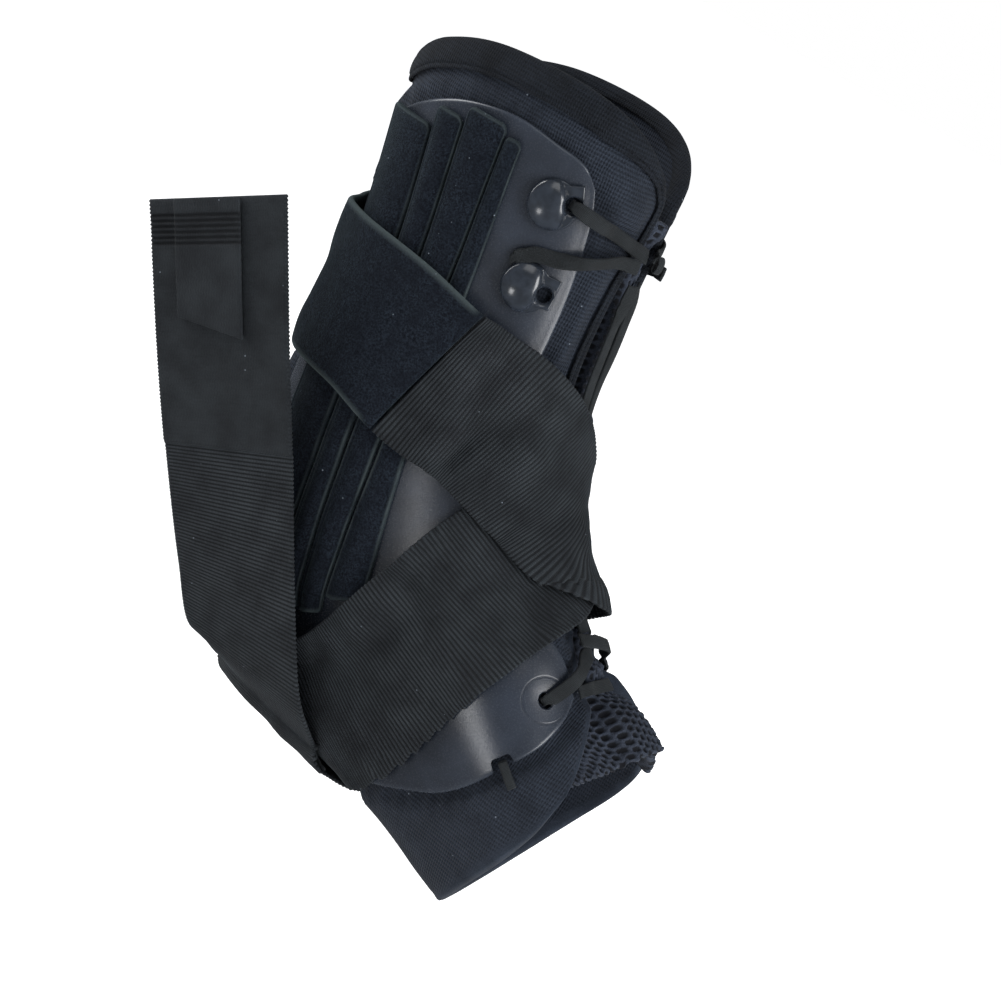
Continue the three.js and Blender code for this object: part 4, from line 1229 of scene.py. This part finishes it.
def cap_mesh(name, seat, up):
    origin, x, y, z = seat
    turn = np.linspace(0, 2 * math.pi, 240, endpoint=False)
    share = np.concatenate([np.linspace(0.02, 0.9, 30), [0.925, 0.95, 0.97, 0.985, 0.995, 1.0]])
    reach = cap_outline(turn, up) * share[:, None]
    px, py = reach * np.cos(turn), reach * np.sin(turn)
    full = rounding(cap_outline(turn, up) - reach, 0.6 * mm)
    away = np.hypot(px + dome_back, py) / dome_radius
    away = away + 0.9 * smooth(px, 1.5 * mm, 8 * mm) * away
    dome = dome_height * np.clip(1 - away ** 2, 0, 1) ** 0.75
    bowl = 0.5 * mm * (1 - smooth(np.hypot(px - hole_reach, py), hole_radius, hole_radius + 1.4 * mm))
    height = cap_base * (0.35 + 0.65 * full) + dome - bowl
    top = origin + px[..., None] * x + py[..., None] * y + height[..., None] * z
    low = origin + px[..., None] * x + py[..., None] * y
    rings = np.concatenate([top, low[::-1]])
    flat_x, flat_y = np.concatenate([px, px[::-1]]), np.concatenate([py, py[::-1]])
    return swept(name, rings, flat_x, flat_y)


cap_bevel = 0.5 * mm
cap_holes = {}
for prefix, side in sides:
    for number, (middle, towards) in enumerate(caps, 1):
        seat = seat_at(side(*middle), side(*towards), cap_seat)
        cap = cap_mesh(f"{prefix}_cap_gloss_{number}", seat, 1 if side is lateral else -1)
        origin, x, y, z = seat
        hole = origin + x * hole_reach
        cap_holes[prefix, number] = hole + z * cap_base
        radii = [hole_radius, hole_radius, hole_radius + cap_bevel, hole_radius + cap_bevel * 1.6]
        heights = [-3 * mm, cap_base - cap_bevel * 2, cap_base - cap_bevel, 6 * mm]
        cut(cap, [lathe(hole, x, y, z, radii, heights)])
        dress(cap, gloss, "gloss_cap", f"{prefix}_cap_{number}")

# %% [markdown]
# Laces and straps are ribbons. Each is a fine grid over its line: places are walked out to both sides of
# the middle line, the coarse heights are read between their rows by a smooth curve, and the wall thins at
# its rims. A lace draws in and dives where it comes out of its hole.

# %% Ribbons
def heights_at(table, rows, columns):
    """A coarse table of heights, read at shares of its length and width."""
    by_row = through(table, rows * (len(table) - 1))
    return through(by_row.T, columns * (table.shape[1] - 1)).T


def ribbon_grid(line, shares, table, width, rows, columns, slant=(0, 1), narrow=1.0):
    """The under side of a ribbon as a grid of points."""
    share = shares[0] + rows[:, None] * (shares[1] - shares[0]) + 0 * columns
    off = (columns - 0.5) * width * narrow + 0 * rows[:, None]
    t, angle = ribbon_place(line, share, off, slant)
    return raised(t, angle, heights_at(table, rows, columns)), t, angle


def ribbon_wall(name, under, thick, rim, relief=0.0, side_wave=0.0, **fields):
    """A closed ribbon on the outer side of a grid of points, with relief on its face, in metres."""
    down, over = np.gradient(under, axis=0), np.gradient(under, axis=1)
    normal = unit(np.cross(over, down))
    rows, columns = under.shape[:2]
    across = lengths_over(under, 1)
    reach = across[:, -1:] / 2
    across = across - reach
    along = np.broadcast_to(lengths_over(under, 0)[:, [columns // 2]], (rows, columns))
    edge = np.minimum(reach - np.abs(across), np.minimum(along, along[-1:] - along))
    full = rounding(edge, rim)[..., None]
    middle = under + normal * thick / 2 + unit(over) * np.asarray(side_wave)[..., None]
    face = middle + normal * (thick / 2 * full) + normal * (np.asarray(relief) * full[..., 0])[..., None]
    made = {key: value(across, along, edge) for key, value in fields.items()}
    return wall(name, face, middle - normal * (thick / 2 * full), across, along, **made)


# %% Laces
lace_rim = 0.45 * mm
eyelet_face = raised(*plate_eyelet, plate_top)


def down_hole(hole, face):
    """Two points inside a hole, from deep to its mouth."""
    return hole - face * 2.4 * mm, hole - face * 0.6 * mm, face


def beside_cap(side):
    """Two points on the plate by the second cap's rim."""
    places = (0.1725, -69.2), (0.169, -68.2)
    first, second = (raised(*side(*place), plate_top + clearance) for place in places)
    return first, second, slopes(*side(*caps[1][0]))[2]


lace_starts = {
    "lace_upper_lateral": down_hole(cap_holes["lateral", 1], slopes(*caps[0][0])[2]),
    "lace_upper_medial": down_hole(cap_holes["medial", 1], slopes(*medial(*caps[0][0]))[2]),
    "lace_second_lateral": beside_cap(lateral),
    "lace_second_medial": beside_cap(medial),
    "lace_lower_1": down_hole(eyelet_face, slopes(*plate_eyelet)[2]),
}


lead_rows, lead_width, lead_bend = 22, 0.62, 0.9 * mm


def led_in(under, first, second, face):
    """Rows that lead from two points into a ribbon's first rows, drawn in at their start."""
    middle = under[:, under.shape[1] // 2]
    points = np.array([first, second, middle[3], middle[8], middle[12]])
    added = centripetal(points, np.linspace(0, 0.5, lead_rows))[:-1]
    share = np.linspace(0, 1, len(added))
    over = unit(under[3, -1] - under[3, 0])
    side = np.linalg.norm(under[3] - middle[3], axis=-1) * np.sign(dot(under[3] - middle[3], over))
    width = lead_width + (1 - lead_width) * smooth(share, 0.25, 1)
    bend = lead_bend * (1 - smooth(share, 0.2, 0.9))
    rows = added[:, None] + over * (side * width[:, None])[..., None]
    rows = rows + face * (bend[:, None] * (np.abs(side) / np.abs(side).max()) ** 2)[..., None]
    return np.concatenate([rows, under[4:]])


lace_ends = {"lace_lower_1": 0.86}
drawn_in = 0.76
for name, line in lace_lines.items():
    end = lace_ends.get(name, 1)
    rows = lines_over(line.length * end, lace_rim, 0.8 * mm) * end
    columns = lines_over(lace_width, lace_rim, 0.6 * mm)
    under, t, angle = ribbon_grid(line, (0, 1), lace_heights[name], lace_width, rows, columns, narrow=drawn_in)
    cupped = 0.25 * mm * (1 - (2 * columns - 1) ** 2)
    under = under + slopes(t, angle)[2] * (cupped + swelling(t, angle))[..., None]
    if name in lace_starts:
        under = led_in(under, *lace_starts[name])
    dress(ribbon_wall(f"{name}_tape", under, lace_wall, lace_rim), lace, "lace_tape", name)

# %% [markdown]
# The knot is a lump of the same lace: a band wound twice round a core, which is all that shows of it. It is
# a closed tube of a flat section that winds round the seat of the knot.

# %% Knot
knot_middle, knot_radius, knot_rise, knot_band = 1.55 * mm, 2.4 * mm, 0.95 * mm, (3.2 * mm, 0.9 * mm)
band_points = 14
origin, x, y, z = seat_at(knot_place, beside_knot, knot_base + knot_middle)


def band(middle_line, up_line, wide, thick):
    """Rings of a flat band along a line, with up_line out of its face."""
    tangent = unit(np.gradient(middle_line, axis=0))
    face = unit(up_line - tangent * dot(up_line, tangent)[:, None])
    over = np.cross(tangent, face)
    turn = np.linspace(0, 2 * math.pi, band_points, endpoint=False)
    c, s = np.cos(turn), np.sin(turn)
    flat_x, flat_y = np.sign(c) * np.abs(c) ** 0.6, np.sign(s) * np.abs(s) ** 0.8
    return (middle_line[:, None] + over[:, None] * (flat_x * wide / 2)[:, None]
            + face[:, None] * (flat_y * thick / 2)[:, None])


knot_slide, knot_growth = 2.6 * mm, 0.12
wind = np.linspace(-0.5 * math.pi, 3.5 * math.pi, 100)
share = np.linspace(0, 1, len(wind))
wider = 1 + knot_growth * share
c, s = np.cos(wind)[:, None], np.sin(wind)[:, None]
core = (c * knot_radius * y + s * knot_rise * z) * wider[:, None]
slide = ((share - 0.5) * knot_slide)[:, None] * x
rings = band(origin + core + slide, unit(c * y / knot_radius + s * z / knot_rise), *knot_band)
over_band = np.broadcast_to(np.linspace(-1, 1, band_points) * 2 * mm, rings.shape[:2])
round_knot = np.broadcast_to(lengths_over(rings[:, 0], 0)[:, None], rings.shape[:2])
knot = swept("lace_knot_wound", rings, over_band, round_knot)
dress(knot, lace, "lace_tape", "lace_knot")

# %% [markdown]
# A small cloth loop comes out of each plate's notch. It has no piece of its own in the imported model, so it
# only rides on the body. It is a flat band that arches off the sleeve.

# %% Loops in the notches
loop_inside, loop_outside, loop_rise = 3.4 * mm, -5.5 * mm, 1.5 * mm
loop_band = (3.0 * mm, 0.9 * mm)
share = np.linspace(0, 1, 40)
ones = np.ones(len(share))
for prefix, side in sides:
    origin, x, y, z = seat_at(side(*plate_notch), side(*above_notch), 0)
    start = [k * ones for k in side(*plate_notch)]
    t, angle = walk(*start, x * ones[:, None], loop_inside + (loop_outside - loop_inside) * share)
    height = swelling(t, angle) + clearance + loop_rise * np.sin(math.pi * share) ** 0.6
    rings = band(raised(t, angle, height), slopes(t, angle)[2], *loop_band)
    flat = np.broadcast_to(lengths_over(rings[:, 0], 0)[:, None], rings.shape[:2])
    dress(swept(f"{prefix}_notch_loop", rings, 0 * flat, flat), lace, "lace_tape")

# %% [markdown]
# The straps are elastic webbing. Its ribs run across the width every 1.27 mm, and at this distance they are
# what the eye reads as webbing, so they are ridges in the mesh, with four rows of points to each. The edges
# are wavy from the same ribs. The velvet end of the first strap is thicker and softer, with a pale edge that
# is partly rubbed and partly a painted sheen.

# %% First strap
rib_height, second_rib_height = 0.34 * mm, 0.34 * mm * 0.7
edge_wave, second_edge_wave = 0.3 * mm, 0.45 * mm
row_step = rib_pitch / 4
web_rim, pile_rim = 0.8 * mm, 1.1 * mm
strap_lines = lines_over(strap_width, web_rim, 2.7 * mm)


def ripple(length, pitch):
    return 0.5 + 0.5 * np.cos(2 * math.pi * length / pitch)


def ridges(along):
    return ripple(along, rib_pitch)


def true_length(under):
    return lengths_over(under, 0)[:, [under.shape[1] // 2]]


def wavy(along, columns, height, beyond=0.47):
    """How far the ribs push a strap's edges out."""
    from_middle = columns - 0.5
    return (ridges(along) - 0.5) * height * np.sign(from_middle) * (np.abs(from_middle) > beyond)


def ribbed(name, under, ribs, waves):
    """A strap of webbing over a grid of points, with its flat length."""
    along = true_length(under)
    relief = (ridges(along) - 1) * ribs + 0 * strap_lines
    # the ridge field marks the rib crests, and the webbing finish paints shade between them
    piece = ribbon_wall(name, under, webbing_wall, 0.7 * mm, relief, wavy(along, strap_lines, waves),
                        ridge=lambda across, along, edge: ridges(along))
    length = float(along[-1, 0])
    print(name, "is", round(length * 1000), "mm long")
    return piece, length


rows = lines_over((web_shares[1] - web_shares[0]) * strap_1.length, web_rim, row_step)
under, _, _ = ribbon_grid(strap_1, web_shares, web_heights, strap_width, rows, strap_lines)
strap_1_web, web_length = ribbed("strap_1_ribbed_webbing", under, rib_height, edge_wave)
dress(strap_1_web, webbing, "webbing", "strap_1_webbing")


def velvet_worn(across, along, edge):
    """The velvet end's pale edge, partly rubbed, partly painted sheen, but not where the webbing is sewn on.
    """
    return (1 - smooth(edge, 0.1 * mm, 2.2 * mm)) * smooth(along, 1 * mm, 6 * mm)


pile_length = (pile_shares[1] - pile_shares[0]) * strap_1.length
rows, columns = (lines_over(length, pile_rim, 1.2 * mm) for length in (pile_length, strap_width))
under, _, _ = ribbon_grid(strap_1, pile_shares, pile_heights, strap_width, rows, columns)
lumps = noise_over(under, 7 * mm) * 0.12 * mm
strap_1_pile = ribbon_wall("strap_1_velvet_end", under, pile_wall, pile_rim, lumps, worn=velvet_worn)
pile_length = float(true_length(under)[-1, 0])
dress(strap_1_pile, velvet, "pile_end", "strap_1_pile_end")
print("its velvet end is", round(pile_length * 1000), "mm long")

# %% [markdown]
# The second strap leaves the sole and is held up, so its free end stands off the brace. The table gives
# five rows of its forward edge: how far each is up, back and out, and how its width dips and turns in to
# the rear edge. Curves through these rows, from the last two rows that lie on the sleeve, make one smooth
# ribbon.

# %% Second strap
free_rise, free_lean_back, free_stand_off = 156 * mm, 86 * mm, 29 * mm

# rise, back, out, dip, turn
free_rows = np.array([
    (0.1, 0.09, 0.52, 2, 12),
    (0.27, 0.267, 0.66, 14, 16),
    (0.545, 0.544, 0.77, 25, 13),
    (0.725, 0.727, 0.87, 28, 11),
    (1.0, 1.0, 1.0, 30, 8),
])
free_seam_row = 3


def free_curves(columns):
    """The points that the free end's curves go through, for each column."""
    count = len(strap_2_heights) - 1
    last_rows = np.array([1 - 1 / count, 1.0])
    start, _, _ = ribbon_grid(strap_2, (0, 1), strap_2_heights, strap_width, last_rows, columns, start_slant)
    rise, back, out = (free_rows[:, :3] * (free_rise, free_lean_back, free_stand_off)).T
    corner = start[-1, -1] + np.stack([-back, -out, rise], -1)
    down, inward = np.radians(free_rows[:, 3:]).T
    rearward = np.stack([-np.cos(down) * np.cos(inward), np.cos(down) * np.sin(inward), -np.sin(down)], -1)
    off = (strap_width * (1 - columns))[:, None]
    return np.concatenate([start, corner[:, None] + rearward[:, None] * off])


def free_grid(columns, start, end, spacing):
    """Rows of the free end between two shares of its curves, at even steps of length."""
    curves = free_curves(columns)
    fine = np.linspace(start, end, 400)
    length = lengths_over(centripetal(curves, fine), 0)[:, len(columns) // 2]
    return centripetal(curves, np.interp(spacing(length[-1]) * length[-1], length, fine)), length[-1]


stations = len(free_rows) + 1
seam_at = (free_seam_row + 1) / stations
free_half_seam = clearance / free_rise / 2
laid_length = strap_2.length
laid_rows = np.linspace(0, 1, round(laid_length / row_step))
laid_rows = laid_rows[laid_rows > 0.9 * mm / laid_length]
laid_rows = np.concatenate([rim_shares * web_rim / laid_length, laid_rows])
laid_under, _, _ = ribbon_grid(strap_2, (0, 1), strap_2_heights, strap_width, laid_rows, strap_lines,
                               start_slant)


def even_then_rim(length):
    """Even rows with extra ones only at the far end."""
    return lines_over(length, web_rim, row_step)[len(rim_shares):]


free_under, _ = free_grid(strap_lines, 1 / stations, seam_at - free_half_seam, even_then_rim)
under = np.concatenate([laid_under[:-1], free_under])
strap_2_web, web_length = ribbed("strap_2_ribbed_webbing", under, second_rib_height, second_edge_wave)
dress(strap_2_web, webbing, "webbing", "strap_2_webbing")

# %% Free end of the second strap
def folded(from_top):
    """A row of small folds a little below the free end's top, from 0 to 1."""
    shown = smooth(from_top, 4 * mm, 5 * mm) * (1 - smooth(from_top, 14 * mm, 16 * mm))
    return ripple(from_top, 1.8 * mm) * shown


end_columns = lines_over(strap_width, pile_rim, 2 * mm)
end_under, end_length = free_grid(end_columns, seam_at - free_half_seam * 3, 1,
                                  lambda length: lines_over(length, pile_rim, row_step))
along = true_length(end_under)
folds = folded(along[-1] - along) * (1 - smooth(end_columns, 0.62, 0.66))
end_relief = -folds * 0.55 * mm - (1 - ridges(along)) * 0.08 * mm
# the ridge field drops in the folds, so the finish paints shade into them
strap_2_end = ribbon_wall("strap_2_free_end", end_under, pile_wall, 1.0 * mm, end_relief,
                          wavy(along, end_columns, second_edge_wave, 0.46),
                          ridge=lambda across, along, edge: 0.45 - 0.45 * folds)
dress(strap_2_end, webbing, "pile_end", "strap_2_pile_end")

# %% [markdown]
# A small patch is sewn on the free end's face, with a slanted lower edge. It is read off the free end's own
# grid, by distance down from the top and in from the rear edge, and it carries the same folds, with painted
# shade in them.

# %% Patch
patch_length, patch_width, patch_slant = 38 * mm, 24.5 * mm, 7 * mm
patch_inset, patch_wall = 10.5 * mm, 1.4 * mm


def read_grid(grid, row, column):
    """Values of a grid at fractional rows and columns."""
    i, j = np.clip(row.astype(int), 0, grid.shape[0] - 2), np.clip(column.astype(int), 0, grid.shape[1] - 2)
    a, b = (row - i)[..., None], (column - j)[..., None]
    return ((1 - a) * ((1 - b) * grid[i, j] + b * grid[i, j + 1])
            + a * ((1 - b) * grid[i + 1, j] + b * grid[i + 1, j + 1]))


u, v = np.meshgrid(lines_over(patch_width, 0.5 * mm, 1.2 * mm), lines_over(patch_length, 0.5 * mm, 0.45 * mm))
down = (1 - v) * (patch_length + patch_slant * u)
row = np.interp(end_length - down, along[:, 0], np.arange(len(along)))
column = np.interp(patch_inset + patch_width * u, end_columns * strap_width, np.arange(len(end_columns)))
end_normal = unit(np.cross(np.gradient(end_under, axis=1), np.gradient(end_under, axis=0)))
on_end, patch_normal = read_grid(end_under, row, column), unit(read_grid(end_normal, row, column))
under = on_end + patch_normal * (pile_wall + clearance)
patch_folds = folded(down)
# the ridge field drops in the folds, so the finish paints shade into them
patch = ribbon_wall("strap_2_sewn_patch", under, patch_wall, 0.5 * mm, -patch_folds * 0.5 * mm,
                    ridge=lambda across, along, edge: 0.48 - 0.48 * patch_folds)
dress(patch, webbing, "pile_end", "strap_2_end_patch")

# %% [markdown]
# The stage is plain: a pale floor a little below the sole, white all round, and four soft boxes. The camera
# sees the world as white, and the lighting sees it as a dim grey, so that black cloth stays black. The
# strongest box stands ahead of the brace, one behind the shaft lights the rims, and a weak one stands high
# on the camera's side. The small one stands close to the lower plate, where its mirror direction leads, so
# the plate carries one bright patch.

# %% Floor and lights
bpy.context.scene.view_settings.view_transform = "Standard"

floor_finish = Finish("floor_paper")
paper = floor_finish.noise(6, 2, 0.5)
floor_finish.set(Base_Color=floor_finish.mix(paper, (0.86, 0.86, 0.87, 1), (0.9, 0.9, 0.9, 1)), Roughness=0.9)
floor_finish.set(Emission_Color=(1, 1, 1, 1), Emission_Strength=0.84)
floor_height, floor_size = -0.125, 60
bpy.ops.mesh.primitive_plane_add(size=floor_size, location=(0, 0, floor_height))
paper_floor = bpy.context.object
paper_floor.name = "paper_floor"
paper_floor.data.materials.append(floor_finish.material)
# the plates would mirror a white floor as a grey haze, so shiny rays pass it by
paper_floor.visible_glossy = False

world = bpy.data.worlds.new("studio")
bpy.context.scene.world = world
world.use_nodes = True
tree = world.node_tree
seen = tree.nodes["Background"]
seen.inputs["Color"].default_value = (1, 1, 1, 1)
dim = tree.nodes.new("ShaderNodeBackground")
dim.inputs["Color"].default_value = (0.9, 0.95, 1.0, 1)
dim.inputs["Strength"].default_value = 0.25
ray = tree.nodes.new("ShaderNodeLightPath")
chosen = tree.nodes.new("ShaderNodeMixShader")
tree.links.new(ray.outputs["Is Camera Ray"], chosen.inputs[0])
tree.links.new(dim.outputs[0], chosen.inputs[1])
tree.links.new(seen.outputs[0], chosen.inputs[2])
tree.links.new(chosen.outputs[0], tree.nodes["World Output"].inputs["Surface"])


def soft_box(name, place, aim, size, power):
    light = bpy.data.lights.new(name, "AREA")
    light.shape, light.size, light.size_y, light.energy = "RECTANGLE", size[0], size[1], power
    box = bpy.data.objects.new(name, light)
    bpy.context.scene.collection.objects.link(box)
    box.location = place
    box.rotation_euler = (Vector(aim) - Vector(place)).to_track_quat("-Z", "Y").to_euler()
    box.visible_camera = False
    return box


soft_box("key_box", (0.25, -0.7, 1.05), (0, 0, 0.02), (0.6, 0.6), 2.6)
soft_box("rim_box", (-0.9, -0.25, 0.5), (0, 0, 0.05), (0.4, 0.9), 13)
soft_box("front_box", (1.05, -0.35, 0.35), (0.03, 0, 0), (0.5, 0.8), 15)
glint = soft_box("glint_box", (0.033, -0.287, -0.065), (0.07, -0.044, -0.045), (0.05, 0.075), 0.15)
glint.visible_diffuse = False
